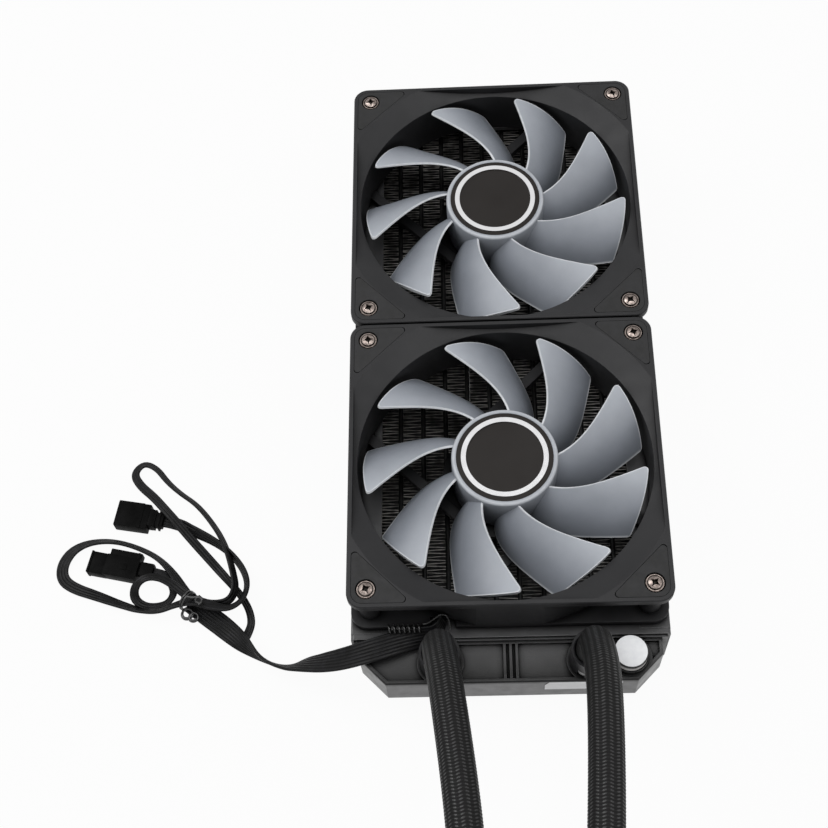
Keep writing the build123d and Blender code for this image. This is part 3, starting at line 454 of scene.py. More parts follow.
def screw_look():
    """Dull plated steel, with painted shade in its trough and socket."""
    look = Look("socket_screw", Metallic=1.0)
    deep = look.attribute("deep")
    metal = look.ramp(look.noise(1.2), [(0.35, (0.13, 0.105, 0.095)), (0.65, (0.30, 0.255, 0.23))])
    dark = look.patches(0.8, (0.008, 0.007, 0.006), (0.020, 0.018, 0.016))
    look.colour(look.mix(deep, metal, dark))
    look.rough(look.span(look.noise(1), 0.25, 0.42))
    look.bump(look.noise(0.4), 0.02)
    return look.material


def sleeve_look():
    """Brushed pale metal, only partly metallic, so that its pale colour also stands as a painted
    glint.
    """
    look = Look("brushed_metal", Metallic=0.3)
    brushed = (1.0, 1.0, 6.0)
    look.colour(look.patches(1.5, (0.62, 0.62, 0.62), (0.78, 0.78, 0.78)))
    look.rough(look.span(look.noise(0.8, 3.0, brushed), 0.3, 0.45))
    look.bump(look.noise(0.3, 2.0, brushed), 0.01)
    return look.material


def label_look():
    """Smooth white film."""
    return mottled(
        "label_film", (0.84, 0.84, 0.85), (0.90, 0.90, 0.91), 6, (0.35, 0.5), 0.4, 0.004,
        Specular_IOR_Level=0.4
    )


def blade_look():
    """Frosted plastic: painted shade standing for the dark core showing through, lightest towards
    the leading edge and the tip, and a painted highlight at its rims.
    """
    look = Look("frosted_plastic", Subsurface_Weight=0.12, Subsurface_Scale=0.004)
    look.shader.inputs["Subsurface Radius"].default_value = (1.0, 1.0, 1.0)
    painted_shading = look.ramp(
        look.attribute("painted_shading"),
        [(0.0, (0.085, 0.094, 0.110)), (0.5, (0.195, 0.211, 0.240)), (1.0, (0.335, 0.355, 0.388))],
    )
    rim = look.patches(2, (0.56, 0.58, 0.61), (0.68, 0.70, 0.72))
    base = look.mix(look.attribute("rim"), painted_shading, rim)
    look.colour(look.tint(base, look.patches(9, (0.9, 0.9, 0.9), (1.0, 1.0, 1.0), 3.0)))
    look.rough(look.span(look.noise(1.2), 0.42, 0.52))
    look.bump(look.noise(0.3, 2.0), 0.008)
    return look.material


looks.update(
    radiator_paint=paint_look(),
    frame_plastic=frame_look(),
    core_paint=core_look(),
    lead_cover=lead_look(),
    hose_braid=braid_look(),
    frosted_plastic=blade_look(),
)

slots = {entry["node"]: entry["material_slot"] for entry in frame["record"]["subparts"]}
for node_name, node in nodes.items():
    node.data.materials.clear()
    node.data.materials.append(looks[slots[node_name]])
nodes["tubes"].data.materials[0] = tube_look()
nodes["fill_plug"].data.materials[0] = plug_look()


# Meshes
def piece(name, points, faces, body, slot, values=None, smooth=True):
    """A mesh piece from points in millimetres, riding on a body."""
    mesh = bpy.data.meshes.new(name)
    mesh.from_pydata([tuple(float(x) * MM for x in point) for point in points], [], faces)
    mesh.validate()
    mesh.update()
    for key, numbers in (values or {}).items():
        layer = mesh.attributes.new(key, "FLOAT", "POINT")
        layer.data.foreach_set("value", [float(number) for number in numbers])
    if smooth:
        mesh.shade_smooth()
    thing = bpy.data.objects.new(name, mesh)
    scene.collection.objects.link(thing)
    thing.data.materials.append(looks[slot])
    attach(thing, body)
    return thing


def grid_faces(rows, columns, start=0, closed_columns=False, closed_rows=False):
    """Quads between the points of a grid written row by row."""
    faces = []
    for row in range(rows if closed_rows else rows - 1):
        for column in range(columns if closed_columns else columns - 1):
            right = (column + 1) % columns
            below = (row + 1) % rows
            faces.append(
                (
                    start + row * columns + column,
                    start + row * columns + right,
                    start + below * columns + right,
                    start + below * columns + column,
                )
            )
    return faces


def sharpen(thing, degrees):
    """Edges steeper than an angle stay sharp on a smooth piece."""
    thing.data.set_sharp_from_angle(angle=math.radians(degrees))


# Lines of the cords
def route_line(name, route):
    """Points in millimetres along the smooth spline that a route's points control."""
    curve = bpy.data.curves.new(name + "_line", "CURVE")
    curve.dimensions = "3D"
    curve.resolution_u = 12
    spline = curve.splines.new("NURBS")
    spline.points.add(len(route) - 1)
    for point, place in zip(spline.points, route):
        point.co = (*[x * MM for x in place], 1)
    spline.order_u = 3
    spline.use_endpoint_u = True
    holder = bpy.data.objects.new(name + "_line", curve)
    mesh = bpy.data.meshes.new_from_object(holder)
    points = np.array([vertex.co[:] for vertex in mesh.vertices]) / MM
    bpy.data.objects.remove(holder)
    bpy.data.curves.remove(curve)
    bpy.data.meshes.remove(mesh)
    return points


def even_line(points, step):
    """The same line with its points about a step apart."""
    run = np.r_[0, np.cumsum(np.linalg.norm(np.diff(points, axis=0), axis=1))]
    count = int(round(run[-1] / step)) + 1
    at = np.linspace(0, run[-1], count)
    return np.column_stack([np.interp(at, run, points[:, axis]) for axis in range(3)]), at


def tangents(points):
    ahead = np.gradient(points, axis=0)
    return ahead / np.linalg.norm(ahead, axis=1)[:, None]


def carried_frames(points, first):
    """Two directions across a line, carried along it without twist."""
    ahead = tangents(points)
    across = np.array(first, float)
    result = []
    for direction in ahead:
        across = across - direction * (across @ direction)
        across = across / np.linalg.norm(across)
        result.append((across, np.cross(direction, across)))
    return result


hose_routes = {
    "left": [
        (-26.4, -132.0, 26.3),
        (-26.4, -132.0, 48.7),
        (-25.4, -141.9, 69.2),
        (-22.6, -159.7, 83.5),
        (-17.4, -204.0, 93.7),
        (-15.0, -248.0, 97.0),
        (-13.0, -290.0, 85.0),
        (-13.0, -328.0, 63.0),
        (-14.0, -358.0, 42.0),
        (-15.0, -383.0, 30.5),
        (-15.0, -404.0, 25.5),
        (-15.0, -422.0, 25.5),
    ],
    "right": [
        (29.5, -132.0, 26.3),
        (29.5, -132.0, 48.7),
        (29.3, -141.9, 69.2),
        (29.5, -159.7, 83.5),
        (26.4, -204.0, 93.7),
        (22.0, -248.0, 97.0),
        (18.4, -290.0, 85.0),
        (16.4, -328.0, 63.0),
        (15.4, -358.0, 42.0),
        (15.0, -383.0, 30.5),
        (15.0, -404.0, 25.5),
        (15.0, -422.0, 25.5),
    ],
}
hose_r = 6.0
braid_columns = 16
braid_pitch = 1.16
braid_depth = 0.22
# The braid lies flatter where the hose leaves its collar
flat_run = 22.0
rising_run = 30.0


def braid_height(around, along):
    """0 to 1: how proud the braid stands, for columns of short ticks that slant by turns."""
    column = math.floor(around)
    across = around - column
    slant = 0.3 if column % 2 else -0.3
    tick = 0.5 + 0.5 * math.cos(2 * math.pi * (along + slant * (2 * across - 1)))
    return (0.25 + 0.75 * tick) * math.sin(math.pi * across) ** 0.6


def braided_hose(place, route):
    points, run = even_line(route_line(f"hose_{place}", route), braid_pitch / 4)
    frames = carried_frames(points, (1, 0, 0))
    ring = 4 * braid_columns
    verts = []
    crowns = []
    for point, distance, (across, over) in zip(points, run, frames):
        pride = min(1.0, 0.55 + max(0.0, distance - flat_run) / rising_run)
        for step in range(ring):
            angle = 2 * math.pi * step / ring
            column = braid_columns * (step + 0.5) / ring
            height = pride * braid_height(column, distance / braid_pitch)
            reach = hose_r - braid_depth + braid_depth * height
            verts.append(point + (across * math.cos(angle) + over * math.sin(angle)) * reach)
            # The height also sets the braid's painted highlight on the crowns and painted shade
            # between strands
            crowns.append(height)
    faces = grid_faces(len(points), ring, closed_columns=True)
    faces.append(tuple(range(ring)))
    faces.append(tuple(reversed(range(len(verts) - ring, len(verts)))))
    hose = piece(f"braided_hose_{place}", verts, faces, "cooler", "hose_braid", {"crown": crowns})
    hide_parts(f"hose_{place}")


for place, route in hose_routes.items():
    braided_hose(place, route)

lead_routes = {
    "fan_lead": [
        (-25.0, -117.0, 29.0),
        (-26.2, -122.2, 29.0),
        (-35.5, -123.6, 29.0),
        (-45.0, -126.2, 29.2),
        (-54.5, -128.8, 28.4),
        (-63.2, -130.0, 24.8),
        (-71.2, -129.4, 19.2),
        (-79.2, -127.9, 13.0),
        (-87.4, -127.2, 7.0),
        (-96.2, -123.4, 3.4),
        (-105.5, -115.4, 1.9),
        (-113.5, -108.2, 2.0),
        (-120.4, -103.2, 2.4),
        (-126.4, -98.4, 2.9),
    ],
    "speed_lead": [
        (-126.4, -98.4, 2.9),
        (-130.6, -92.6, 3.0),
        (-134.9, -85.6, 2.0),
        (-141.6, -78.4, 1.3),
        (-151.6, -73.2, 1.3),
        (-161.6, -70.4, 1.3),
        (-171.2, -70.8, 1.3),
        (-178.4, -74.2, 1.3),
        (-181.6, -80.4, 1.3),
        (-180.8, -86.6, 1.3),
        (-175.6, -90.4, 1.3),
        (-166.4, -93.8, 1.3),
        (-157.0, -97.6, 1.4),
        (-148.4, -100.7, 2.4),
        (-139.6, -102.6, 4.8),
        (-132.0, -100.4, 7.4),
        (-124.4, -99.4, 8.9),
        (-117.0, -101.9, 8.8),
        (-110.4, -102.9, 7.6),
        (-105.4, -98.6, 6.0),
        (-103.9, -91.6, 4.6),
        (-106.4, -84.4, 3.2),
        (-111.6, -77.6, 1.8),
        (-118.6, -72.0, 1.2),
        (-126.8, -67.6, 1.2),
        (-134.29, -63.68, 3.2),
        (-140.4, -62.6, 3.2),
    ],
    "light_lead": [
        (-105.2, -114.8, 1.9),
        (-102.2, -109.4, 1.6),
        (-102.6, -103.0, 1.2),
        (-106.2, -96.2, 1.2),
        (-112.6, -88.6, 1.2),
        (-120.6, -79.6, 1.6),
        (-128.2, -71.4, 3.6),
        (-133.6, -65.4, 6.0),
        (-139.0, -59.4, 6.6),
        (-145.0, -52.4, 5.2),
        (-151.6, -46.2, 3.0),
        (-155.4, -40.0, 1.8),
        (-151.6, -34.8, 1.4),
        (-145.6, -37.6, 1.2),
        (-140.8, -44.0, 1.2),
        (-134.8, -49.6, 1.2),
        (-127.8, -54.6, 1.2),
        (-121.8, -61.6, 1.2),
        (-116.6, -69.4, 3.0),
        (-112.9, -77.4, 4.8),
        (-110.4, -85.4, 5.2),
        (-108.6, -92.9, 5.0),
        (-110.6, -98.9, 5.6),
        (-116.4, -100.6, 6.2),
        (-122.8, -99.3, 6.2),
        (-129.0, -95.6, 6.2),
        (-134.4, -91.2, 6.2),
        (-139.9, -88.4, 6.8),
        (-145.4, -88.6, 7.8),
        (-149.6, -91.6, 6.0),
        (-150.2, -96.0, 3.2),
        (-146.6, -98.7, 1.5),
        (-141.6, -99.2, 1.2),
        (-136.4, -97.8, 1.2),
        (-134.2, -93.4, 1.2),
        (-135.6, -89.0, 2.2),
        (-138.2, -85.96, 3.2),
        (-143.0, -84.9, 3.2),
    ],
}
lead_wires = {"fan_lead": 7, "speed_lead": 4, "light_lead": 3}
wire_pitch = 1.24
wire_r = 0.64

# How each flat lead rolls about its own line: share of its length, then degrees
lead_rolls = {
    "fan_lead": [
        (0, -75), (0.1, -45), (0.25, -12), (0.4, 6), (0.5, 30), (0.57, 60), (0.61, 70),
        (0.65, 76), (0.69, 84), (0.73, 106), (0.79, 140), (0.86, 164), (0.93, 176), (1, 180),
    ],
    "speed_lead": [
        (0, 10), (0.05, 40), (0.1, 64), (0.2, 60), (0.26, 46), (0.31, 12), (0.37, -6),
        (0.44, -26), (0.5, -48), (0.56, -58), (0.61, -46), (0.66, -20), (0.7, -48), (0.78, -66),
        (0.86, -76), (0.92, -56), (0.97, -18), (1, 0),
    ],
    "light_lead": [
        (0, 0), (0.05, -45), (0.1, -52), (0.14, -24), (0.3, -16), (0.36, -18), (0.41, -52),
        (0.46, -60), (0.6, -62), (0.7, -52), (0.75, -20), (0.8, 30), (0.84, 22), (0.88, -10),
        (0.93, -38), (1, 0),
    ],
}


def ribbon_section(wires):
    """Outline across a flat lead: the round wires stand out above and below."""
    half = (wires - 1) / 2
    web = 40
    top = []
    for wire in range(wires):
        centre = (wire - half) * wire_pitch
        low = 180 if wire == 0 else 180 - web
        high = 0 if wire == wires - 1 else web
        for turn in np.linspace(low, high, 5):
            angle = math.radians(turn)
            top.append((centre + wire_r * math.cos(angle), wire_r * math.sin(angle)))
    return top + [(x, -y) for x, y in reversed(top[1:-1])]


def ribbon(name, wires):
    """A flat lead along its route, rolling as listed and lifted clear of the floor."""
    points, run = even_line(route_line(name, lead_routes[name]), 1.0)
    ahead = tangents(points)
    share = run / run[-1]
    places, turns = zip(*lead_rolls[name])
    rolls = np.radians(np.interp(share, places, turns))
    span = 9
    rolls = np.convolve(np.pad(rolls, span // 2, mode="edge"), np.ones(span) / span, mode="valid")
    half_width = (wires - 1) / 2 * wire_pitch + wire_r
    floor_room = np.abs(np.sin(rolls)) * half_width + np.abs(np.cos(rolls)) * wire_r
    points[:, 2] = np.maximum(points[:, 2], floor_room + 0.05)
    section = ribbon_section(wires)
    verts = []
    for point, direction, roll in zip(points, ahead, rolls):
        up = np.array((0.0, 0.0, 1.0)) - direction * direction[2]
        up = up / np.linalg.norm(up)
        side = np.cross(direction, up)
        normal = up * math.cos(roll) + side * math.sin(roll)
        side = np.cross(direction, normal)
        for x, y in section:
            verts.append(point + side * x + normal * y)
    faces = grid_faces(len(points), len(section), closed_columns=True)
    faces.append(tuple(range(len(section))))
    faces.append(tuple(reversed(range(len(verts) - len(section), len(verts)))))
    thing = piece(f"flat_{name}", verts, faces, "cooler", "lead_cover")
    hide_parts(name)
    return thing, points, 2 * half_width


def loose_box(size, centre, soft, turn):
    """Points and faces of a turned box with softened edges."""
    shape = bmesh.new()
    bmesh.ops.create_cube(shape, size=1.0)
    for vertex in shape.verts:
        vertex.co = Vector([vertex.co[axis] * size[axis] for axis in range(3)])
    edges = list(shape.edges)
    bmesh.ops.bevel(shape, geom=edges, offset=soft, segments=2, profile=0.6, affect="EDGES")
    spin = Matrix.Rotation(turn, 3, "Z")
    shape.verts.index_update()
    points = [tuple(spin @ vertex.co + Vector(centre)) for vertex in shape.verts]
    faces = [tuple(vertex.index for vertex in face.verts) for face in shape.faces]
    shape.free()
    return points, faces


def joined(parts):
    """Several sets of points and faces as one."""
    points = []
    faces = []
    for more_points, more_faces in parts:
        start = len(points)
        points.extend(more_points)
        faces.extend(tuple(start + index for index in face) for face in more_faces)
    return points, faces


def plug_piece(name, node, start, degrees, blocks):
    """A plug from softened blocks: size, then the centre along the plug, across and up."""
    turn = math.radians(degrees)
    parts = []
    for size, (along, across, up), soft in blocks:
        x = start[0] + along * math.cos(turn) - across * math.sin(turn)
        y = start[1] + along * math.sin(turn) + across * math.cos(turn)
        parts.append(loose_box(size, (x, y, up), soft, turn))
    points, faces = joined(parts)
    thing = piece(name, points, faces, "cooler", "black_plastic")
    sharpen(thing, 40)
    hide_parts(node)
    return thing


speed_plug = plug_piece(
    "speed_connector",
    "speed_plug",
    lead_routes["speed_lead"][-1],
    170.0,
    [
        ((14.0, 11.0, 6.0), (13.0, 0, 3.2), 0.5),
        ((11.0, 11.0, 0.5), (14.2, 0, 6.25), 0.2),
        ((6.0, 6.0, 4.0), (3.0, 0, 3.2), 0.6),
        ((0.9, 7.4, 5.0), (1.6, 0, 3.2), 0.3),
        ((0.9, 7.4, 5.0), (3.6, 0, 3.2), 0.3),
        ((3.0, 7.6, 5.6), (5.2, 0, 3.2), 0.8),
    ],
)
light_plug = plug_piece(
    "light_connector",
    "light_plug",
    lead_routes["light_lead"][-1],
    167.5,
    [
        ((14.0, 9.0, 6.2), (13.0, 1.0, 3.2), 0.5),
        ((8.0, 9.2, 5.2), (23.0, 1.0, 2.8), 0.5),
        ((1.0, 9.4, 5.8), (26.4, 1.0, 2.9), 0.3),
        ((13.4, 3.0, 4.4), (13.0, -5.0, 2.3), 0.5),
        ((1.2, 3.2, 5.2), (7.4, -4.8, 2.6), 0.4),
        ((6.0, 6.0, 4.0), (3.0, 0, 3.2), 0.7),
        ((3.0, 2.6, 0.5), (12.0, 1.0, 6.3), 0.2),
    ],
)

for name, wires in lead_wires.items():
    flat, points, width = ribbon(name, wires)


# Ties
def wire(name, strands, radius, node):
    """Round wires along lists of points in millimetres, as one piece in a node's place."""
    parts = []
    for strand in strands:
        points, _ = even_line(np.array(strand, float), radius * 0.9)
        smooth = points.copy()
        for _ in range(3):
            smooth[1:-1] = (smooth[:-2] + 2 * smooth[1:-1] + smooth[2:]) / 4
        first = (0, 0, 1) if abs(tangents(smooth)[0][2]) < 0.8 else (1, 0, 0)
        ring = 8
        verts = []
        for point, (across, over) in zip(smooth, carried_frames(smooth, first)):
            for step in range(ring):
                angle = 2 * math.pi * step / ring
                verts.append(point + (across * math.cos(angle) + over * math.sin(angle)) * radius)
        faces = grid_faces(len(smooth), ring, closed_columns=True)
        faces.append(tuple(range(ring)))
        faces.append(tuple(reversed(range(len(verts) - ring, len(verts)))))
        parts.append((verts, faces))
    points, faces = joined(parts)
    thing = piece(name, points, faces, "cooler", "tie_cover")
    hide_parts(node)


def coil_points():
    """The tie's wire wound round itself, from left to right."""
    turns = 7
    length = 13.0
    reach = 1.65
    start = (-45.5, -121.3, 32.8)
    points = []
    for step in range(turns * 24 + 1):
        angle = 2 * math.pi * step / 24
        points.append(
            (
                start[0] + length * step / (turns * 24),
                start[1] + reach * math.cos(angle),
                start[2] + reach * math.sin(angle),
            )
        )
    return points


coil_tail = [
    (-32.5, -119.65, 32.8),
    (-30.6, -119.6, 33.2),
    (-28.2, -118.2, 33.9),
    (-26.0, -116.7, 34.6),
    (-23.7, -116.8, 34.0),
    (-22.6, -118.8, 32.2),
    (-22.4, -121.2, 30.6),
]
wire("coiled_wire", [coil_points(), coil_tail], 0.42, "coil_tie")

tie_middle = Vector((-127.55, -98.7, 6.2))
tie_turn = math.radians(142.0)
tie_across = Vector((-math.sin(tie_turn), math.cos(tie_turn), 0))
tie_along = Vector((math.cos(tie_turn), math.sin(tie_turn), 0))


def tie_ring(shift):
    """One turn of the tie round the bundle."""
    wide = 3.9
    high = 5.6
    points = []
    for step in range(41):
        angle = 2 * math.pi * step / 40
        flat = tie_middle + tie_across * wide * math.cos(angle) + tie_along * shift
        points.append(flat + Vector((0, 0, high * math.sin(angle))))
    return points


def tie_loop(centre, reach, turns, lift):
    """A loose loop of the tie's tail, nearly flat."""
    points = []
    count = int(24 * turns)
    for step in range(count + 1):
        angle = 2 * math.pi * step / 24 + 2.0
        wide = reach * (1 - 0.25 * step / count)
        points.append(
            (
                centre[0] + wide * math.cos(angle),
                centre[1] + wide * math.sin(angle),
                centre[2] + lift * step / count,
            )
        )
    return points


tie_knot = [
    (-127.4, -98.8, 11.8),
    (-124.6, -99.4, 12.0),
    (-122.2, -99.2, 12.2),
    (-120.6, -100.3, 12.0),
    (-121.4, -101.8, 11.6),
    (-123.2, -101.2, 12.2),
    (-122.8, -99.6, 13.0),
    (-121.0, -99.8, 13.0),
    (-120.4, -101.4, 12.4),
    (-122.0, -102.2, 11.8),
]
tie_strands = [
    tie_ring(-0.5),
    tie_ring(0.5),
    tie_knot,
    tie_loop((-127.6, -103.6, 4.3), 2.5, 1.7, 1.0),
    tie_loop((-125.0, -105.0, 4.3), 2.1, 1.6, 1.2),
]
wire("twisted_tie", tie_strands, 0.45, "lead_tie")


# Fan rotors
fan_places = {"front": -60.0, "rear": 60.0}
# Distance from the axis, then angle and height of the leading and of the trailing edge
blade_sections = [
    (19.3, 3.0, 22.2, -22.0, 5.0),
    (28.01, 13.5, 22.8, -15.0, 6.2),
    (37.01, 23.5, 23.0, -4.5, 7.4),
    (46.02, 31.0, 23.0, 4.0, 8.6),
    (55.6, 36.9, 23.0, 10.5, 9.8),
]
blade_camber = 0.085
blade_edge = 0.9
blade_middle = 1.9
blade_tip_r = 54.4
lead_corner = 2.6
trail_corner = 1.0
rim_width = 0.4
trail_rim_width = 0.8
fan_bottom = 27.0
hub_r = 20.4
hub_top = 51.0
hub_foot = 30.6

table = np.array(blade_sections)
fits = [np.polyfit(table[:, 0], table[:, column], 4) for column in range(1, 5)]


def blade_frame(distance):
    """Edges of the blade section at a distance, in its own plane."""
    lead_angle, lead_height, trail_angle, trail_height = (np.polyval(fit, distance) for fit in fits)
    middle = math.radians((lead_angle + trail_angle) / 2)
    half = math.radians((lead_angle - trail_angle) / 2)
    lead = np.array((distance * math.tan(half), fan_bottom + lead_height))
    trail = np.array((-distance * math.tan(half), fan_bottom + trail_height))
    return middle, lead, trail


def blade_point(distance, along, side):
    middle, lead, trail = blade_frame(distance)
    chord = trail - lead
    length = np.linalg.norm(chord)
    up = np.array((chord[1], -chord[0])) / length
    if up[1] < 0:
        up = -up
    bow = 4 * along * (1 - along)
    half = (blade_edge + (blade_middle - blade_edge) * bow) / 2
    flat = lead + chord * along + up * (blade_camber * length * bow + side * half)
    outward = np.array((math.cos(middle), math.sin(middle)))
    tangent = np.array((-math.sin(middle), math.cos(middle)))
    place = outward * distance + tangent * flat[0]
    return np.array((place[0], place[1], flat[1])), length


def blade_reach(along, chord):
    """How far out the blade goes at a share of its chord, with rounded tip corners."""
    reach = blade_tip_r
    for share, corner in ((along, lead_corner), (1 - along, trail_corner)):
        gap = share * chord
        if gap < corner:
            reach -= corner - math.sqrt(corner**2 - (corner - gap) ** 2)
    return reach


def blade_mesh():
    """One blade, with how near each point is to a rim, for the rims' painted highlight, and its
    painted shading there.
    """
    rows = 30
    columns = 33
    alongs = 0.5 - 0.5 * np.cos(np.linspace(0, math.pi, columns))
    start = blade_sections[0][0]
    limits = []
    for along in alongs:
        distance = 50.0
        for _ in range(6):
            place, length = blade_point(distance, along, 0)
            side = math.hypot(place[0], place[1]) ** 2 - distance**2
            distance = math.sqrt(max(blade_reach(along, length) ** 2 - side, 1.0))
        limits.append(distance)
    verts = []
    rims = []
    painted_shadings = []
    shares = [*np.linspace(0, 0.975, rows - 3), 0.986, 0.994, 1.0]
    for side in (1, -1):
        for share in shares:
            for along, limit in zip(alongs, limits):
                distance = start + (limit - start) * share
                place, length = blade_point(distance, along, side)
                verts.append(place)
                trail = (1 - along) * length
                edge = min(along * length, trail, limit - distance)
                width = trail_rim_width if trail == edge else rim_width
                # Nearness to a rim for its painted highlight, and painted shading lightest towards
                # the leading edge and the tip
                rims.append(max(0.0, 1.0 - edge / width))
                painted_shadings.append(0.35 + 0.65 * (1 - along) ** 1.3 * (0.35 + 0.65 * share))
    count = rows * columns
    faces = [tuple(reversed(face)) for face in grid_faces(rows, columns)]
    faces += grid_faces(rows, columns, count)
    border = [row * columns for row in range(rows)]
    border += [(rows - 1) * columns + column for column in range(1, columns)]
    border += [row * columns + columns - 1 for row in range(rows - 2, -1, -1)]
    for one, two in zip(border, border[1:]):
        faces.append((one, two, two + count, one + count))
    return np.array(verts), faces, rims, painted_shadings


def lathe(profile, ring):
    """Points and faces of a closed outline turned about the Z axis."""
    points = []
    for radius, height in profile:
        for step in range(ring):
            angle = 2 * math.pi * step / ring
            points.append((radius * math.cos(angle), radius * math.sin(angle), height))
    return points, grid_faces(len(profile), ring, closed_columns=True, closed_rows=True)


hub_profile = [
    (18.1, hub_foot),
    (hub_r - 0.3, hub_foot),
    (hub_r, hub_foot + 0.3),
    (hub_r, hub_top - 0.9),
    (hub_r - 0.25, hub_top - 0.3),
    (hub_r - 0.8, hub_top),
    (18.6, hub_top),
    (18.6, hub_top - 1.6),
    (2.0, hub_top - 1.6),
    (2.0, hub_top - 3.4),
    (18.1, hub_top - 3.4),
]


def rotor_piece(place, turn):
    """Nine blades and the hub as one piece, turned by some degrees."""
    points, faces, rims, painted_shadings = blade_mesh()
    all_points = []
    all_faces = []
    all_rims = []
    all_painted_shadings = []
    for number in range(9):
        angle = math.radians(40 * number + turn)
        cosine, sine = math.cos(angle), math.sin(angle)
        spin = np.array(((cosine, -sine, 0), (sine, cosine, 0), (0, 0, 1)))
        start = len(all_points)
        all_points.extend(points @ spin.T)
        all_faces.extend(tuple(start + index for index in face) for face in faces)
        all_rims.extend(rims)
        all_painted_shadings.extend(painted_shadings)
    hub_points, hub_faces = lathe(hub_profile, 96)
    start = len(all_points)
    all_points.extend(np.array(hub_points))
    all_faces.extend(tuple(start + index for index in face) for face in hub_faces)
    # Painted highlight on the hub's top rim, and the hub's top painted lighter than its side
    for x, y, z in hub_points:
        radius = math.hypot(x, y)
        all_rims.append(0.35 if z > hub_top - 0.5 and radius > 19 else 0.0)
        all_painted_shadings.append(0.75 if z > 45 else 0.4)
    shifted = np.array(all_points) + np.array((0, fan_places[place], 0))
    rotor = piece(
        f"fan_rotor_{place}",
        shifted,
        all_faces,
        f"rotor_{place}",
        "frosted_plastic",
        {"rim": all_rims, "painted_shading": all_painted_shadings},
    )
    sharpen(rotor, 50)
    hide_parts(f"rotor_{place}")


rotor_piece("front", 0.0)
rotor_piece("rear", 4.7)


# Screws: a rim, a trough and a raised head with a star-shaped socket
screw_seat = 50.8
screw_offset = 52.5
screw_turns = [28.0, 8.0, 50.0, 17.0]
head_r = 2.5


def socket_share(x, y):
    """0 on the head to 1 in its star-shaped socket."""
    star = (abs(x) ** 0.62 + abs(y) ** 0.62) / 1.95**0.62
    return min(1.0, max(0.0, 1.08 - star) * 3.2)


def head_height(x, y):
    """Height over the seat: an outer step, a ring, a trough and the domed head."""
    reach = math.hypot(x, y)
    if reach > 3.3:
        return 0.5
    if reach > 2.95:
        return 0.95
    if reach > head_r:
        return 0.45
    dome = 1.35 + 0.75 * (1 - (reach / head_r) ** 2)
    return dome - 1.15 * socket_share(x, y)


def screw_part(x, y, turn):
    """Points and faces of one screw, with how much painted shade each point gets."""
    reaches = [0.08 + 0.1 * step for step in range(24)]
    reaches += [2.46, 2.52, 2.6, 2.86, 2.94, 2.97, 3.08, 3.2, 3.28, 3.33, 3.36]
    ring = 72
    points = []
    deeps = []
    for reach in reaches:
        for step in range(ring):
            angle = 2 * math.pi * step / ring
            flat_x = reach * math.cos(angle)
            flat_y = reach * math.sin(angle)
            spin = angle + math.radians(turn)
            height = head_height(flat_x, flat_y)
            place = (x + reach * math.cos(spin), y + reach * math.sin(spin))
            points.append((*place, screw_seat + height))
            # Painted shade in the trough and the socket
            trough = 0.85 if head_r < reach < 2.96 else 0.0
            deeps.append(trough if reach > head_r else socket_share(flat_x, flat_y))
    for reach, height in ((3.36, 0.0), (1.45, 0.0), (1.45, -28.0)):
        for step in range(ring):
            spin = 2 * math.pi * step / ring + math.radians(turn)
            place = (x + reach * math.cos(spin), y + reach * math.sin(spin))
            points.append((*place, screw_seat + height))
    faces = grid_faces(len(reaches) + 3, ring, closed_columns=True)
    faces.append(tuple(reversed(range(ring))))
    faces.append(tuple(range(len(points) - ring, len(points))))
    deeps += [0.0] * (3 * ring)
    return points, faces, deeps


socket_look = screw_look()
sides = (-screw_offset, screw_offset)
for place, fan_y in fan_places.items():
    corners = [(x, fan_y + y) for x in sides for y in sides]
    parts = [screw_part(x, y, turn) for (x, y), turn in zip(corners, screw_turns)]
    points, faces = joined([part[:2] for part in parts])
    deeps = [deep for part in parts for deep in part[2]]
    name = f"socket_screws_{place}"
    screws = piece(name, points, faces, "cooler", "screw_steel", {"deep": deeps})
    screws.data.materials[0] = socket_look
    sharpen(screws, 35)
    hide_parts(f"fan_screws_{place}")


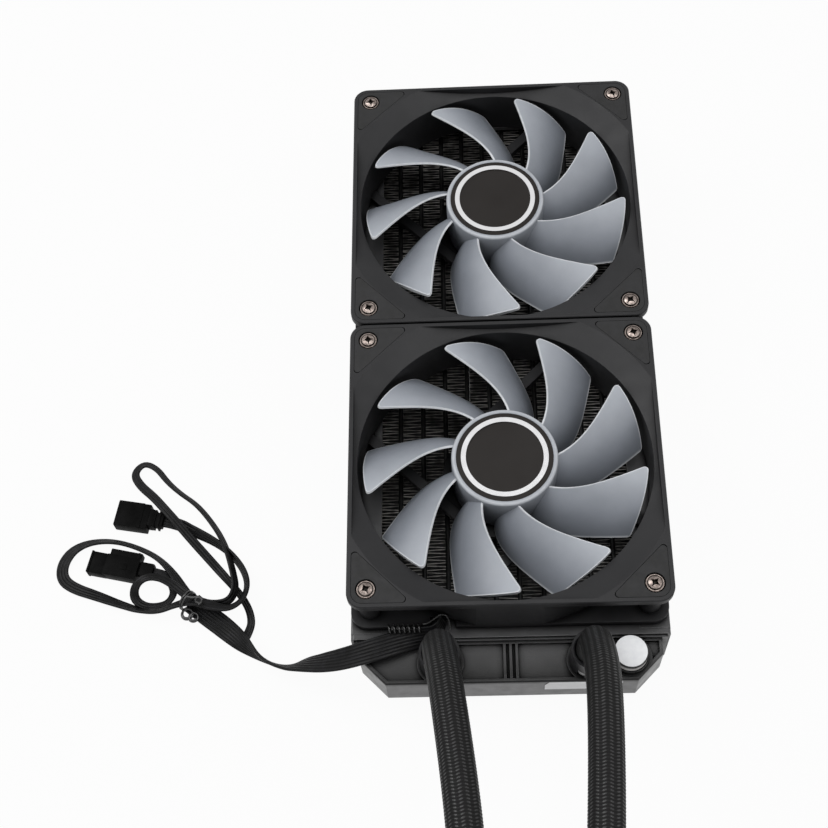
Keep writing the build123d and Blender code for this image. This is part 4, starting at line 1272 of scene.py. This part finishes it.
def window_metal(place, material):
    """The metal sleeve that shows in the window at the foot of a collar, pale as a painted glint.
    """
    x, y, _ = hose_routes[place][0]
    facing = 237.0
    points = []
    turns = np.linspace(-12, 12, 9)
    for reach in (6.25, 6.85):
        for height, narrowing in ((24.45, 1.0), (28.3, 1.0), (28.9, 0.9)):
            for turn in turns:
                around = math.radians(facing + turn * narrowing)
                points.append((x + reach * math.cos(around), y + reach * math.sin(around), height))
    wide = len(turns)
    count = 3 * wide
    faces = [tuple(reversed(face)) for face in grid_faces(3, wide)]
    faces += grid_faces(3, wide, count)
    border = [*range(wide), 2 * wide - 1, *range(count - 1, 2 * wide - 1, -1), wide]
    for one, two in zip(border, border[1:] + border[:1]):
        faces.append((one, two, two + count, one + count))
    sleeve = piece(f"sleeve_{place}", points, faces, "cooler", "bright_metal")
    sleeve.data.materials[0] = material
    sharpen(sleeve, 40)


# Pale metal that is also a painted glint in the collar windows
sleeve_metal_and_glint = sleeve_look()
for place in hose_routes:
    window_metal(place, sleeve_metal_and_glint)


# Core: fine folded strips between the tubes
def core_piece():
    columns = 13
    column_pitch = 9.1846
    half = 3.62
    half_length = 120
    pitch = 1.36
    thick = 0.34
    low = 6.8
    high = 20.8
    parts = []
    for column in range(columns):
        middle = (column - (columns - 1) // 2) * column_pitch
        count = int(2 * half_length / pitch)
        for number in range(count):
            y = -half_length + (number + 0.5) * pitch
            lean = pitch * 0.16 * (1 if number % 2 else -1)
            top = high - random.random() * 0.5
            skew = random.uniform(-0.12, 0.12)
            left = (middle - half, y - lean + skew)
            right = (middle + half, y + lean + skew)
            verts = []
            for z in (low, top):
                for x, wall_y in (left, right):
                    verts.append((x, wall_y - thick / 2, z))
                    verts.append((x, wall_y + thick / 2, z))
            parts.append((verts, [(4, 6, 7, 5), (0, 2, 6, 4), (1, 5, 7, 3), (0, 1, 3, 2)]))
    points, faces = joined(parts)
    core = piece("folded_strips", points, faces, "cooler", "core_paint", smooth=False)
    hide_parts("fins")


core_piece()


# Plain label on the end of the tank
def label_piece():
    back = -140.1
    front = -140.28
    outline = [(12.4, 20.0), (14.0, 23.0), (41.2, 23.0), (41.2, 14.9), (12.4, 14.9)]
    points = [(x, back, z) for x, z in outline] + [(x, front, z) for x, z in outline]
    count = len(outline)
    faces = [tuple(range(count)), tuple(reversed(range(count, 2 * count)))]
    for one in range(count):
        two = (one + 1) % count
        faces.append((one, two, two + count, one + count))
    label = piece("plain_label", points, faces, "cooler", "seal_paper", smooth=False)
    label.data.materials[0] = label_look()


label_piece()
